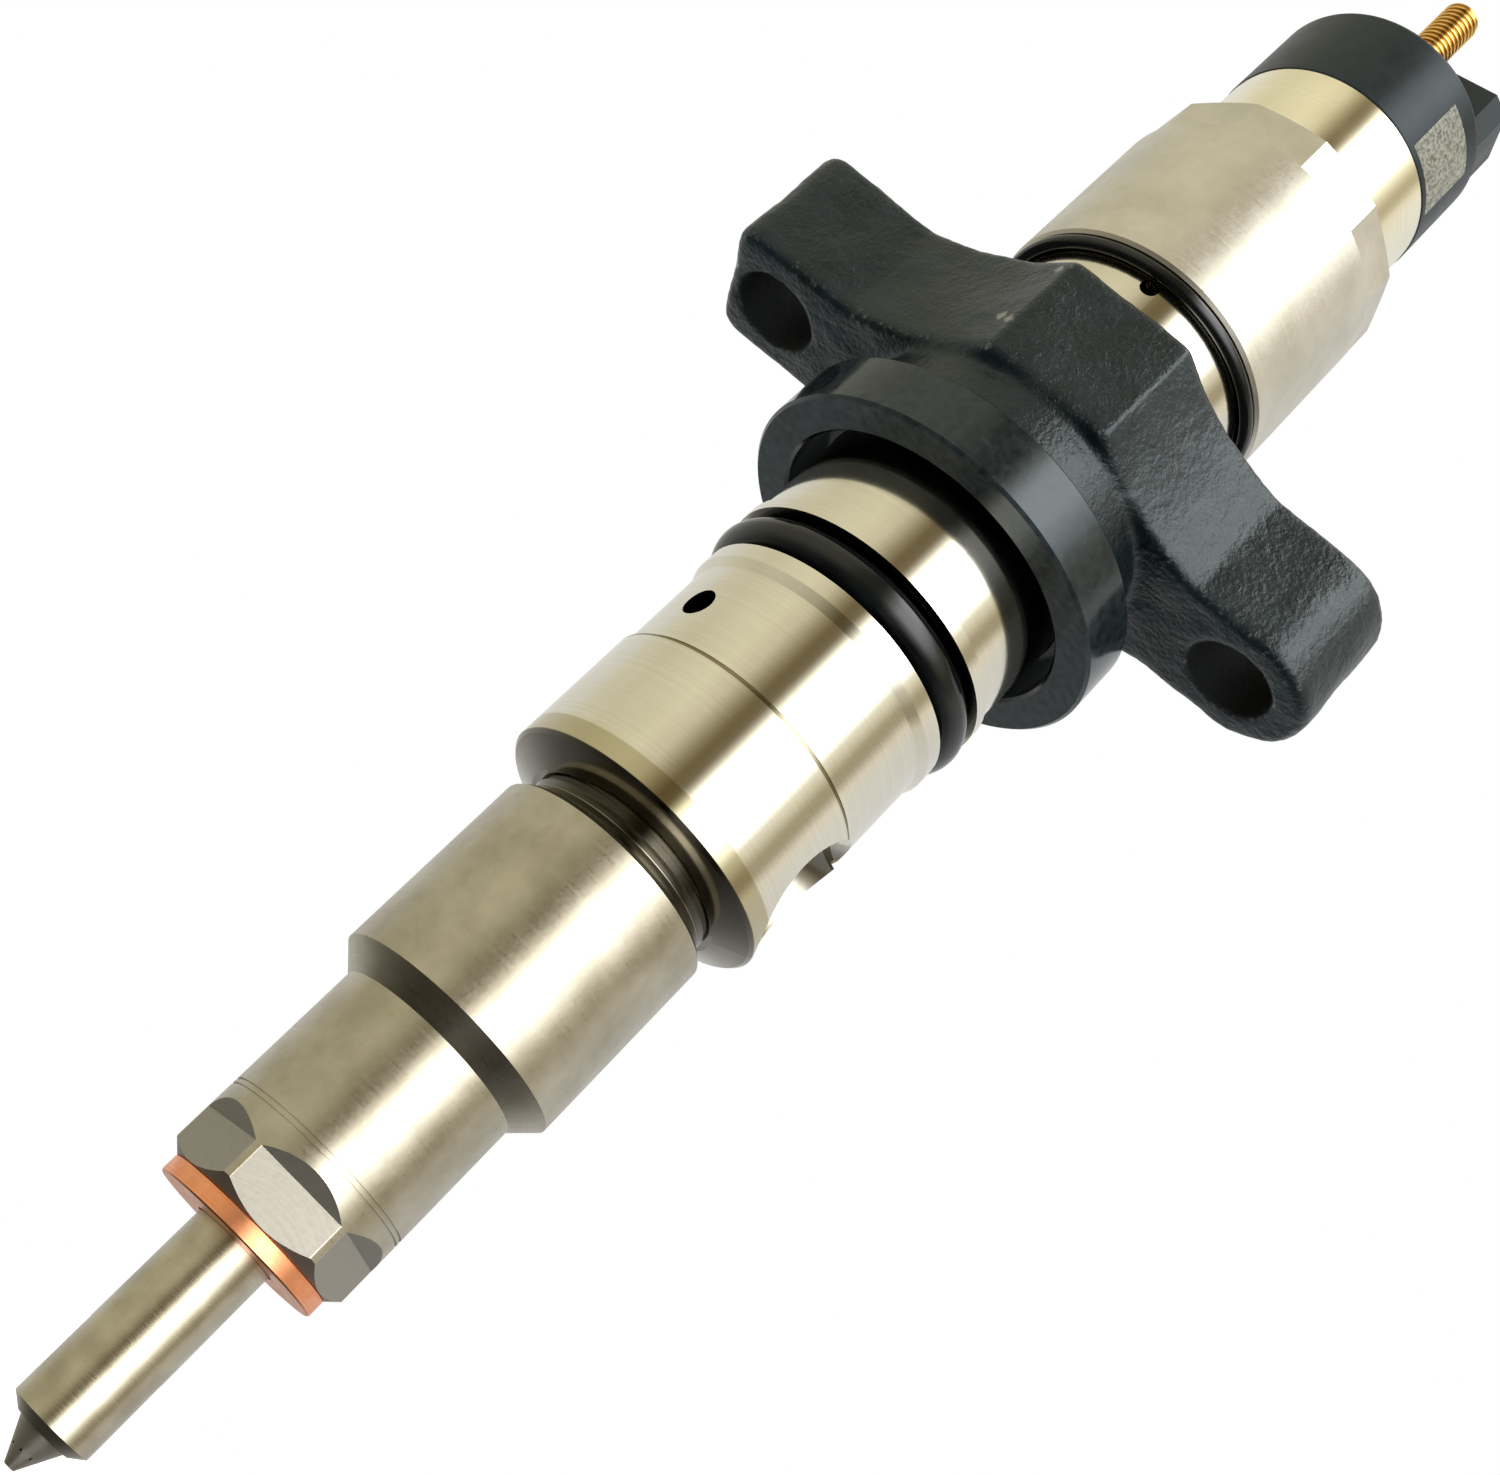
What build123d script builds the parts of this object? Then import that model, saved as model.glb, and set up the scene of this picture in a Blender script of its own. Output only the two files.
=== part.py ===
from build123d import *
import math
import os

# Common-rail diesel fuel injector with its two-bolt hold-down clamp, in millimetres.
# Z runs along the injector from the spray tip up to the electrical terminals. The origin is the
# centre of the copper seat washer's underside. X runs through the clamp's two bolt holes and is
# also the direction of the high-pressure inlet in the side of the body.

# ---- clearances and small breaks ----
RUN = 0.04               # radial clearance of a piece that slides or turns in a guide
SLIP = 0.05              # radial gap round a piece that is pushed or screwed into place
TOUCH = 0.01             # gap between faces that only rest on each other
BREAK = 0.3              # ordinary broken edge
CUT = 1.0                # how far a cutting tool runs past the face it leaves

# ---- seat washer ----
WASHER_R = 7.5
WASHER_T = 1.5
WASHER_EDGE = 0.12
WASHER_GAP = 0.2         # radial gap round the nozzle's shank

# ---- nozzle ----
SHANK_R = 3.5            # nozzle shank that stands in the combustion seat
SHANK_LEN = 16.6         # from the washer's underside down to the end chamfer
SHANK_RELIEF = 0.25      # radius taken off the shank inside the nut
TIP_CHAMFER_R = 2.4
TIP_CHAMFER_H = 0.75
CONE_R = 2.1             # spray cone, below the end chamfer
CONE_H = 2.9
TIP_R = 0.45             # flat of the spray tip
SHOULDER_R = 7.1         # big end of the nozzle, pressed up against the body
SHOULDER_H = 14.8        # height of the big end, up to its joint with the body
STEM_BORE_R = 1.6
STEM_R = 1.15
GUIDE_R = 2.0
CHAMBER_R = 2.9          # pressure chamber under the needle's guide
CHAMBER_RISE = 1.3       # its floor, above the big end's shoulder
CHAMBER_H = 3.0
CHAMBER_CONE_H = 1.0
NEEDLE_CONE_H = 2.0      # cone between the needle's stem and its guide
SEAT_CONE_H = 1.9
SAC_R = 0.45
SPRAY_HOLES = 8
SPRAY_R = 0.1
SPRAY_TILT = 20          # degrees below the horizontal
NEEDLE_LIFT = 0.30
SEAT_GAP = 0.03          # height of the closed needle above its cone
DOWEL_R = 0.75
DOWEL_HALF = 1.5         # how far each dowel stands in each piece
DOWEL_WALL = 0.95        # left between a dowel and the nozzle's outside

# ---- nozzle nut ----
HEX_AF = 15.0
HEX_LEAD = 0.9           # lead-in cone at the nut's lower end
HEX_LEN = 3.85
HEX_RUNOUT = 1.25
HEX_ANGLE = -75.5        # azimuth of the middle of one flat
NUT_FLOOR = 0.6          # left between the flats' run-out and the nozzle's shoulder
NUT_GAP = 0.3            # radial gap of the nut round the nozzle's shank
NUT_SMALL_WALL = 1.35    # round the nozzle
NUT_BIG_WALL = 1.25      # round the body's nose
NUT_STEP_DROP = 0.65     # from the joint face down to the top of the sloped step
NUT_GRIP = 16.9          # from the joint face up to the nut's top
NUT_EDGE = 0.4
NUT_GROOVES = (6.05, 6.5)
NUT_GROOVE_W = 0.22
NUT_GROOVE_D = 0.15

# ---- injector body ----
NOSE_STEP = 2.1          # how far the screwed nose stands out past the nozzle
THREAD_PITCH = 0.75
THREAD_DEPTH = 0.3
THREAD_CREST = 0.08      # width of a crest's flat
THREAD_TURNS = 3         # turns left in view above the nut
RELIEF_STEP = 0.25
RELIEF_LEN = 2.1         # from the nut's top to the body's shoulder
SHOULDER_IN_STEP = 0.6
BODY_R = 13.0
BODY_CONE_H = 1.4
BARREL_LEN = 11.8        # from the cone up to the fine turned line
LINE_W = 0.35
WAIST_STEP = 0.35
WAIST_LEN = 9.2
WAIST_RAMP = 0.9
LAND_STEP = 0.1          # land below the O-ring, over the barrel
O_RING_RISE = 4.75       # O-ring's middle, above the waist
O_RING_SECTION = 3.4
GROOVE_W = 4.4
O_RING_STAND = 0.7       # how far the O-ring stands proud of the land
STOP_STEP = 0.4          # shoulder above the O-ring, where the clamp's ring presses
STOP_H = 1.25
NECK_LEN = 39.5          # from the stop shoulder to the solenoid nut
NECK_IN_NUT = 1.1
BODY_THREAD_LEN = 7.9
BODY_THREAD_STEP = 0.25

# ---- drillings in the body ----
INLET_RISE = 6.6         # inlet's axis, above the body's lower cone
INLET_MOUTH_R = 5.7
INLET_CONE_HALF = 30     # degrees, half angle of the conical inlet seat
INLET_SEAT_R = 2.4
FEED_R = 0.9
FEED_WALL = 0.75         # left between the high-pressure gallery and the spring chamber
RETURN_R = 1.5           # return port in the waist
RETURN_RISE = 4.7        # its axis, above the fine line
RETURN_ANGLE = -135.0
GALLERY_INSET = 0.4      # low-pressure gallery, in from the valve flange's edge
GALLERY_R = 1.1
LEAK_R = 0.9             # leak hole just under the solenoid nut
LEAK_DROP = 2.1
LEAK_ANGLE = -93.0

# ---- needle spring and control piston ----
CHAMBER_BORE_R = 3.85
SPRING_ROOM = 30.0       # height of the spring chamber
SHIM_T = 1.2
SHIM_GAP = 0.3           # radial gap of the shim round the control piston
SEAT_T = 1.6
JOURNAL_R = 1.2
JOURNAL_H = 1.5
NEEDLE_WIRE_R = 0.5
NEEDLE_SPRING_GAP = 0.6  # between the needle spring and its chamber
NEEDLE_COILS = 9
PISTON_R = 1.6
PISTON_HEAD_R = 2.15
PISTON_PLAY = 0.45       # radial room round the piston's head in the body
PISTON_HEAD_H = 9.0
PISTON_CONE_H = 1.0

# ---- control valve ----
ARM_DEPTH = 14.5         # armature chamber, down from the body's top
VALVE_DEPTH = 11.5       # valve flange's seat, down from the armature chamber
POCKET_DEPTH = 11.0      # pocket for the valve piece's stem, down from the flange's seat
NUT_RING_STEP = 0.6      # clamping nut, in from the armature chamber's wall
NUT_RING_H = 5.0
NUT_RING_GAP = 0.5
NUT_RING_SLOT_W = 2.2
NUT_RING_SLOT_D = 1.6
VALVE_FLANGE_GAP = 1.2   # valve flange, in from the clamping nut's thread
VALVE_FLANGE_H = 4.0
VALVE_FLANGE_SEAT = 2.8  # width of the flange's seat in the body
VALVE_STEM_H = 8.5
VALVE_STEM_GAP = 1.0
VALVE_BOSS_R = 3.9
VALVE_BOSS_H = 2.0
SEAL_LOW = 2.2           # seal ring, measured down from the flange
SEAL_HIGH = 0.6
CONTROL_GAP = 0.8        # control chamber above the piston
OUTLET_R = 0.2
BALL_R = 0.67
BALL_SINK = 0.22         # how deep the ball sits in its seat
BALL_GUIDE_R = 2.0
BALL_GUIDE_H = 1.4
BALL_GUIDE_LIP_R = 1.4
BALL_GUIDE_LIP_H = 0.5

# ---- armature ----
ARM_GUIDE_T = 2.0
ARM_HUB_R = 3.9
ARM_HUB_H = 1.9
ARM_PIN_R = 1.5
ARM_PLATE_GAP = 0.7      # between the plate and the lift shim
ARM_PLATE_T = 2.2
ARM_PLATE_RISE = 2.8     # plate's underside, above the guide
ARM_SLOTS = 4
ARM_SLOT_W = 1.2
ARM_SLOT_IN = 4.3
ARM_LIFT = 0.06
ARM_STOP_GAP = 0.04      # air gap left between the lifted plate and the magnet
ARM_SPRING_R = 2.7
ARM_WIRE_R = 0.25
ARM_COILS = 3
GUIDE_HOLES = 4
GUIDE_HOLE_R = 1.1
GUIDE_HOLE_RAD = 6.8
SHIM_RING_WALL = 1.25

# ---- solenoid ----
CORE_H = 11.4
CORE_R = 9.9
SLOT_IN = 5.0
SLOT_OUT = 7.8
SLOT_DEPTH = 8.6
CORE_BORE = 2.6
BOBBIN_WALL = 0.45
BOBBIN_SINK = 0.2        # how far the bobbin sits back from the core's face
SKIRT_WALL = 0.6         # sleeve's thin skirt inside the body
SLEEVE_WALL = 2.0
SLEEVE_FLANGE_STEP = 0.9
SLEEVE_FLANGE_T = 2.0
SLEEVE_STAND = 10.2      # how far the sleeve stands out of the solenoid nut
SOL_SPRING_R = 1.9
SOL_WIRE_R = 0.35
SOL_COILS = 6
SPRING_PLUG_T = 2.0

# ---- solenoid nut ----
SNUT_FLANGE_GAP = 0.1    # body thread, over the sleeve's flange
SNUT_WALL = 1.45         # over the body's neck
SNUT_LEN = 23.4
SNUT_FLATS = 12
SNUT_FLAT_CUT = 0.55     # depth of the middle of each flat
SNUT_FLAT_LEN = 4.7
SNUT_ANGLE = -69.7       # azimuth of the middle of one flat
SEAL_RING_R = 0.65       # section radius of the seal ring under the nut

# ---- terminal cap and studs ----
CAP_STEP = 0.1           # cap, over the sleeve
CAP_H = 11.3
CAP_ROUND = 0.7
CAP_LOW_ROUND = 0.23
PLUG_RISE = 1.0          # plug's lower end, above the core
CAP_GROOVE_DROP = 5.7
CAP_SEAL_SECTION = 1.5
STUD_R = 2.0
STUD_PCD = 14.0
STUD_H = 11.7            # height above the cap's top face
STUD_CHAMFER = 0.8
STUD_ROOT = 6.0
STUD_ROOT_R = 2.4        # the part of a stud that is moulded into the cap
STUD_HEAD_R = 2.9
STUD_HEAD_T = 1.5
STUD_ANGLE = -85.3
LEAD_R = 0.5
LUG_W = 9.0              # upright lug between the terminals' wires
LUG_T = 7.0
LUG_H = 6.5
LUG_RAD = 7.7
LUG_ANGLE = -10.0
LUG_CORNER = 1.75

# ---- hold-down clamp ----
RING_RISE = 7.7          # ring's lower face, above the stop shoulder
RING_H = 5.9
RING_WALL = 3.7
RING_MOUTH_GAP = 1.0     # between the ring's mouth and what passes into it
RING_MOUTH_D = 3.2
RING_GAP = 0.08          # radial gap of the ring and the clamp on the neck
CLAMP_BOSS_WALL = 1.92
CLAMP_BOSS_H = 5.9
CLAMP_T = 13.5
WING_HALF = 7.3
HUMP_WALL = 2.72         # between the bore and the flat of each hump
HUMP_FLAT = 6.3
HUMP_END = 20.0
HUMP_SAG = 1.0           # how hollow the slope between hump and wing is
HUMP_SAG_X = 0.5
WING_LEFT = 32.6
WING_RIGHT = 34.6
WING_CORNER = 2.0
CLAMP_ROUND = 0.9
BOLT_SPAN = 53.6
BOLT_HOLE_R = 4.2

# ---- radii that follow from the ones above, from the magnet core outwards ----
SLEEVE_BORE = CORE_R + SLIP
SLEEVE_SKIRT_R = SLEEVE_BORE + SKIRT_WALL
SLEEVE_R = SLEEVE_BORE + SLEEVE_WALL
SLEEVE_FLANGE_R = SLEEVE_R + SLEEVE_FLANGE_STEP
PLUG_R = SLEEVE_BORE - SLIP
CAP_R = SLEEVE_R + CAP_STEP
ARM_CHAMBER_R = SLEEVE_SKIRT_R + SLIP
SHIM_RING_IN = ARM_CHAMBER_R - SLIP - SHIM_RING_WALL
ARM_PLATE_R = SHIM_RING_IN - ARM_PLATE_GAP
NUT_RING_R = ARM_CHAMBER_R - NUT_RING_STEP
NUT_RING_BORE = VALVE_BOSS_R + NUT_RING_GAP
VALVE_FLANGE_R = NUT_RING_R - VALVE_FLANGE_GAP
POCKET_R = VALVE_FLANGE_R - VALVE_FLANGE_SEAT
VALVE_STEM_R = POCKET_R - VALVE_STEM_GAP
GALLERY_RAD = VALVE_FLANGE_R - GALLERY_INSET
BODY_THREAD_R = SLEEVE_FLANGE_R + SNUT_FLANGE_GAP
NECK_R = BODY_THREAD_R + BODY_THREAD_STEP
SNUT_R = NECK_R + SNUT_WALL
STOP_R = NECK_R + STOP_STEP
CLAMP_BORE = NECK_R + RING_GAP
CLAMP_BOSS_R = CLAMP_BORE + CLAMP_BOSS_WALL
HUMP_HALF = CLAMP_BORE + HUMP_WALL
LEAD_RAD = (SLOT_IN + SLOT_OUT + BOBBIN_WALL) / 2

# ---- radii that follow, in the body and the nozzle end ----
WAIST_R = BODY_R - WAIST_STEP
LAND_R = BODY_R + LAND_STEP
GROOVE_R = LAND_R + O_RING_STAND - O_RING_SECTION
RING_MOUTH_R = max(LAND_R + O_RING_STAND, STOP_R) + RING_MOUTH_GAP
RING_R = RING_MOUTH_R + RING_WALL
NOSE_R = SHOULDER_R + NOSE_STEP
RELIEF_R = NOSE_R - RELIEF_STEP
SHOULDER_IN_R = NOSE_R + SHOULDER_IN_STEP
NUT_SMALL_R = SHOULDER_R + SLIP + NUT_SMALL_WALL
NUT_BIG_R = NOSE_R + SLIP + NUT_BIG_WALL
DOWEL_RAD = SHOULDER_R - DOWEL_WALL - DOWEL_R
FEED_X = CHAMBER_BORE_R + FEED_WALL + FEED_R
NEEDLE_SPRING_R = CHAMBER_BORE_R - NEEDLE_SPRING_GAP - NEEDLE_WIRE_R
PISTON_BORE_R = PISTON_HEAD_R + PISTON_PLAY

# ---- heights that follow, from the washer up ----
HEX_TOP = WASHER_T + HEX_LEN
SHOULDER_Z = HEX_TOP + HEX_RUNOUT + NUT_FLOOR
CHAMBER_Z = SHOULDER_Z + CHAMBER_RISE
NOZZLE_TOP = SHOULDER_Z + SHOULDER_H
NUT_STEP_TOP = NOZZLE_TOP - NUT_STEP_DROP
NUT_SMALL_END = NUT_STEP_TOP - NUT_BIG_R + NUT_SMALL_R
NUT_TOP = NOZZLE_TOP + NUT_GRIP
RELIEF_END = NUT_TOP + RELIEF_LEN
BODY_START = RELIEF_END + BODY_CONE_H
INLET_Z = BODY_START + INLET_RISE
LINE_Z = BODY_START + BARREL_LEN
RETURN_Z = LINE_Z + RETURN_RISE
WAIST_END = LINE_Z + WAIST_LEN
O_RING_Z = WAIST_END + O_RING_RISE
STOP_TOP = O_RING_Z + GROOVE_W / 2 + STOP_H
RING_Z = STOP_TOP + RING_RISE
CLAMP_Z = RING_Z + RING_H + CLAMP_BOSS_H
SNUT_Z = STOP_TOP + NECK_LEN
SNUT_TOP = SNUT_Z + SNUT_LEN
NECK_END = SNUT_Z + NECK_IN_NUT
BODY_TOP = SNUT_Z + BODY_THREAD_LEN
LEAK_Z = SNUT_Z - LEAK_DROP
SLEEVE_TOP = SNUT_TOP + SLEEVE_STAND
CAP_TOP = SLEEVE_TOP + CAP_H
CAP_GROOVE_Z = SLEEVE_TOP - CAP_GROOVE_DROP

# ---- heights of the inner pieces ----
SPRING_TOP = NOZZLE_TOP + SPRING_ROOM
SPRING_LOW = NOZZLE_TOP + JOURNAL_H + SEAT_T
SPRING_HIGH = SPRING_TOP - SHIM_T
ARM_CHAMBER_Z = BODY_TOP - ARM_DEPTH
VALVE_FLANGE_Z = ARM_CHAMBER_Z - VALVE_DEPTH
POCKET_Z = VALVE_FLANGE_Z - POCKET_DEPTH
VALVE_TOP = VALVE_FLANGE_Z + VALVE_FLANGE_H + VALVE_BOSS_H
PISTON_TOP = VALVE_FLANGE_Z - CONTROL_GAP
BALL_Z = VALVE_TOP + BALL_R - BALL_SINK
PIN_LOW = BALL_Z + TOUCH + BALL_R + BALL_GUIDE_H
GUIDE_TOP = ARM_CHAMBER_Z + ARM_GUIDE_T
ARM_PLATE_Z = GUIDE_TOP + ARM_PLATE_RISE
ARM_PLATE_TOP = ARM_PLATE_Z + ARM_PLATE_T
CORE_Z = ARM_PLATE_TOP + ARM_LIFT + ARM_STOP_GAP
CORE_TOP = CORE_Z + CORE_H
PLUG_BOTTOM = CORE_TOP + PLUG_RISE

STANDING = (Align.CENTER, Align.CENTER, Align.MIN)
HANGING = (Align.CENTER, Align.CENTER, Align.MAX)


def turned(*points):
    """A solid of revolution about Z from its (radius, height) outline."""
    line = Polyline(*[(r, 0, z) for r, z in points], close=True)
    return revolve(make_face(line), axis=Axis.Z)


def tube(outer, inner, low, high):
    """A plain ring about Z."""
    return turned((inner, low), (outer, low), (outer, high), (inner, high))


def rod(radius, low, high, x=0, y=0):
    """An upright cylinder between two heights."""
    return Pos(x, y, low) * Cylinder(radius, high - low, align=STANDING)


def polar(radius, degrees):
    """X and Y of a point at a radius and an azimuth."""
    return radius * math.cos(math.radians(degrees)), radius * math.sin(math.radians(degrees))


def drill(start, end, radius):
    """A drilling from one point to another."""
    a = Vector(*start)
    run = Vector(*end) - a
    return Plane(origin=a, z_dir=run) * Cylinder(radius, run.length, align=STANDING)


def torus(radius, section, z):
    """An O-ring about Z."""
    return Pos(0, 0, z) * Torus(radius, section)


def coil_spring(radius, wire, low, high, turns):
    """A closed-up helical spring whose wire lies wholly between two heights."""
    rise = high - low - 2 * wire
    path = Pos(0, 0, low + wire) * Helix(rise / turns, rise, radius)
    section = Plane(origin=path @ 0, z_dir=path % 0) * Circle(wire)
    return sweep(section, path=path, is_frenet=True)


def flat_cutter(across_flats, flats, angle, low, high, reach):
    """What is left outside a regular prism: it cuts wrench flats with square shoulders."""
    outer = rod(reach, low, high)
    prism = extrude(RegularPolygon(across_flats / 2, flats, major_radius=False), high - low + 2 * CUT)
    return outer - Pos(0, 0, low - CUT) * Rot(0, 0, angle) * prism


# ---------------- nozzle ----------------

def nozzle_outline():
    """The nozzle's outside, from the spray tip to the joint face."""
    shank = -SHANK_LEN
    chamfer = shank - TIP_CHAMFER_H
    inner = SHANK_R - SHANK_RELIEF
    tip = chamfer - CONE_H
    return turned((0, tip), (TIP_R, tip), (CONE_R, chamfer), (TIP_CHAMFER_R, chamfer), (SHANK_R, shank),
                  (SHANK_R, 0), (inner, 0), (inner, SHOULDER_Z),
                  (SHOULDER_R - BREAK, SHOULDER_Z), (SHOULDER_R, SHOULDER_Z + BREAK),
                  (SHOULDER_R, NOZZLE_TOP - BREAK), (SHOULDER_R - BREAK, NOZZLE_TOP), (0, NOZZLE_TOP))


def nozzle_bore():
    """The needle's guide, pressure chamber, stem bore, conical seat and sac."""
    seat_top = -SHANK_LEN
    top = CHAMBER_Z + CHAMBER_H
    seat_low = seat_top - SEAT_CONE_H
    return turned((0, seat_low - SAC_R), (SAC_R, seat_low), (STEM_BORE_R, seat_top),
                  (STEM_BORE_R, CHAMBER_Z - CHAMBER_CONE_H), (CHAMBER_R, CHAMBER_Z), (CHAMBER_R, top),
                  (GUIDE_R, top + CHAMBER_CONE_H), (GUIDE_R, NOZZLE_TOP + CUT), (0, NOZZLE_TOP + CUT))


def spray_hole(angle):
    """One spray hole, from the sac out through the cone."""
    start_z = -SHANK_LEN - SEAT_CONE_H
    x, y = polar(CONE_R + CUT, angle)
    drop = (CONE_R + CUT) * math.tan(math.radians(SPRAY_TILT))
    return drill((0, 0, start_z), (x, y, start_z - drop), SPRAY_R)


def dowel_places():
    """Places of the two dowels that line the nozzle up with the body."""
    return [(0, -DOWEL_RAD), (0, DOWEL_RAD)]


def dowels(extra=0.0):
    """The two dowels, or the holes for them when a clearance is given."""
    half = DOWEL_HALF + extra
    return [rod(DOWEL_R + extra, NOZZLE_TOP - half, NOZZLE_TOP + half, x, y) for x, y in dowel_places()]


def nozzle_body():
    body = nozzle_outline() - nozzle_bore()
    body -= drill((FEED_X, 0, NOZZLE_TOP + CUT), (GUIDE_R, 0, CHAMBER_Z + CHAMBER_H / 2), FEED_R)
    for i in range(SPRAY_HOLES):
        body -= spray_hole(360 * i / SPRAY_HOLES)
    for hole in dowels(SLIP):
        body -= hole
    return body


def nozzle_needle():
    """The needle, closed on its seat, with the journal that carries the spring seat."""
    seat_top = -SHANK_LEN
    guide = GUIDE_R - RUN
    top = NOZZLE_TOP - NEEDLE_LIFT
    slope = (STEM_BORE_R - SAC_R) / SEAT_CONE_H
    cone_top = seat_top - (STEM_BORE_R - STEM_R) / slope + SEAT_GAP
    tip = seat_top - SEAT_CONE_H + SEAT_GAP
    end = NOZZLE_TOP + JOURNAL_H
    return turned((0, tip), (SAC_R, tip), (STEM_R, cone_top), (STEM_R, CHAMBER_Z),
                  (guide, CHAMBER_Z + NEEDLE_CONE_H), (guide, top), (JOURNAL_R, top), (JOURNAL_R, end),
                  (0, end))


def spring_seat():
    """The thrust piece between the needle, its spring and the control piston."""
    low = NOZZLE_TOP + JOURNAL_H
    return turned((0, low), (CHAMBER_BORE_R - SLIP, low), (CHAMBER_BORE_R - SLIP, low + SEAT_T),
                  (PISTON_R, low + SEAT_T), (PISTON_R, low + 2 * SEAT_T), (0, low + 2 * SEAT_T))


def nozzle_spring():
    return coil_spring(NEEDLE_SPRING_R, NEEDLE_WIRE_R, SPRING_LOW + TOUCH, SPRING_HIGH - TOUCH, NEEDLE_COILS)


def spring_shim():
    return tube(CHAMBER_BORE_R - SLIP, PISTON_R + SHIM_GAP, SPRING_HIGH, SPRING_TOP)


def seat_washer():
    bore = SHANK_R + WASHER_GAP
    flat = WASHER_R - WASHER_EDGE
    return turned((bore, 0), (flat, 0), (WASHER_R, WASHER_EDGE), (WASHER_R, WASHER_T - WASHER_EDGE),
                  (flat, WASHER_T), (bore, WASHER_T))


def nut_outline():
    """The nozzle nut's outside: grooved small barrel, sloped step and big barrel."""
    low = WASHER_T
    points = [(0, low), (HEX_AF / 2, low), (NUT_SMALL_R, low + HEX_LEAD)]
    for rise in NUT_GROOVES:
        z = low + rise
        points += [(NUT_SMALL_R, z), (NUT_SMALL_R - NUT_GROOVE_D, z)]
        points += [(NUT_SMALL_R - NUT_GROOVE_D, z + NUT_GROOVE_W), (NUT_SMALL_R, z + NUT_GROOVE_W)]
    points += [(NUT_SMALL_R, NUT_SMALL_END), (NUT_BIG_R, NUT_STEP_TOP), (NUT_BIG_R, NUT_TOP - NUT_EDGE)]
    points += [(NUT_BIG_R - NUT_EDGE, NUT_TOP), (0, NUT_TOP)]
    return turned(*points)


def hex_flat(angle):
    """One milled flat of the nut's hexagon, with a sloped run-out into the barrel."""
    flat = HEX_AF / 2
    low = WASHER_T - CUT
    reach = NUT_SMALL_R + CUT
    slope = (NUT_SMALL_R - flat) / HEX_RUNOUT
    end = HEX_TOP + (reach - flat) / slope
    side = Polyline((flat, 0, low), (reach, 0, low), (reach, 0, end), (flat, 0, HEX_TOP), close=True)
    return Rot(0, 0, angle) * extrude(make_face(side), NUT_SMALL_R * 2, dir=(0, 1, 0), both=True)


def nozzle_nut():
    nut = nut_outline()
    for i in range(6):
        nut -= hex_flat(HEX_ANGLE + 60 * i)
    nut -= rod(SHANK_R + NUT_GAP, WASHER_T - CUT, NUT_TOP)
    nut -= rod(SHOULDER_R + SLIP, SHOULDER_Z, NUT_TOP)
    nut -= rod(NOSE_R + SLIP, NOZZLE_TOP - NUT_EDGE, NUT_TOP + CUT)
    return nut


# ---------------- injector body ----------------

def body_outline():
    """The body's outside, from the screwed nose to the thread for the solenoid nut."""
    points = [(0, NOZZLE_TOP), (NOSE_R - 2 * BREAK, NOZZLE_TOP), (NOSE_R, NOZZLE_TOP + 2 * BREAK)]
    start = RELIEF_END - BREAK - THREAD_TURNS * THREAD_PITCH
    for i in range(THREAD_TURNS):
        z = start + i * THREAD_PITCH
        root = z + (THREAD_PITCH - THREAD_CREST) / 2
        points += [(NOSE_R, z), (NOSE_R - THREAD_DEPTH, root), (NOSE_R, z + THREAD_PITCH - THREAD_CREST)]
    points += [(RELIEF_R, RELIEF_END - BREAK), (RELIEF_R, RELIEF_END), (SHOULDER_IN_R, RELIEF_END)]
    points += [(BODY_R - BREAK, BODY_START - BREAK), (BODY_R, BODY_START), (BODY_R, LINE_Z)]
    points += [(WAIST_R - BREAK, LINE_Z), (WAIST_R - BREAK, LINE_Z + LINE_W), (WAIST_R, LINE_Z + LINE_W)]
    points += [(WAIST_R, WAIST_END), (LAND_R, WAIST_END + WAIST_RAMP), (LAND_R, O_RING_Z - GROOVE_W / 2)]
    points += [(GROOVE_R, O_RING_Z - GROOVE_W / 2), (GROOVE_R, O_RING_Z + GROOVE_W / 2)]
    points += [(STOP_R, O_RING_Z + GROOVE_W / 2), (STOP_R, STOP_TOP), (NECK_R, STOP_TOP), (NECK_R, NECK_END)]
    points += [(BODY_THREAD_R, NECK_END), (BODY_THREAD_R, BODY_TOP - BREAK)]
    points += [(BODY_THREAD_R - BREAK, BODY_TOP), (0, BODY_TOP)]
    return turned(*points)


def body_bore():
    """Spring chamber, piston bore, valve pocket, clamping-nut thread and armature chamber."""
    return turned((0, NOZZLE_TOP - CUT), (CHAMBER_BORE_R, NOZZLE_TOP - CUT), (CHAMBER_BORE_R, SPRING_TOP),
                  (PISTON_BORE_R, SPRING_TOP), (PISTON_BORE_R, POCKET_Z), (POCKET_R, POCKET_Z),
                  (POCKET_R, VALVE_FLANGE_Z), (NUT_RING_R, VALVE_FLANGE_Z), (NUT_RING_R, ARM_CHAMBER_Z),
                  (ARM_CHAMBER_R, ARM_CHAMBER_Z), (ARM_CHAMBER_R, BODY_TOP + CUT), (0, BODY_TOP + CUT))


def inlet_seat():
    """Conical high-pressure seat in the side of the body, and its short drilling."""
    tan_half = math.tan(math.radians(INLET_CONE_HALF))
    mouth_x = math.sqrt(BODY_R ** 2 - INLET_MOUTH_R ** 2)
    wide_r = INLET_MOUTH_R + (BODY_R + CUT - mouth_x) * tan_half
    seat_x = mouth_x - (INLET_MOUTH_R - INLET_SEAT_R) / tan_half
    depth = BODY_R + CUT - seat_x
    cone = Cone(INLET_SEAT_R, wide_r, depth, align=STANDING)
    seat = Plane(origin=(seat_x, 0, INLET_Z), z_dir=(1, 0, 0)) * cone
    return seat + drill((FEED_X, 0, INLET_Z), (seat_x + CUT, 0, INLET_Z), FEED_R)


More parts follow.
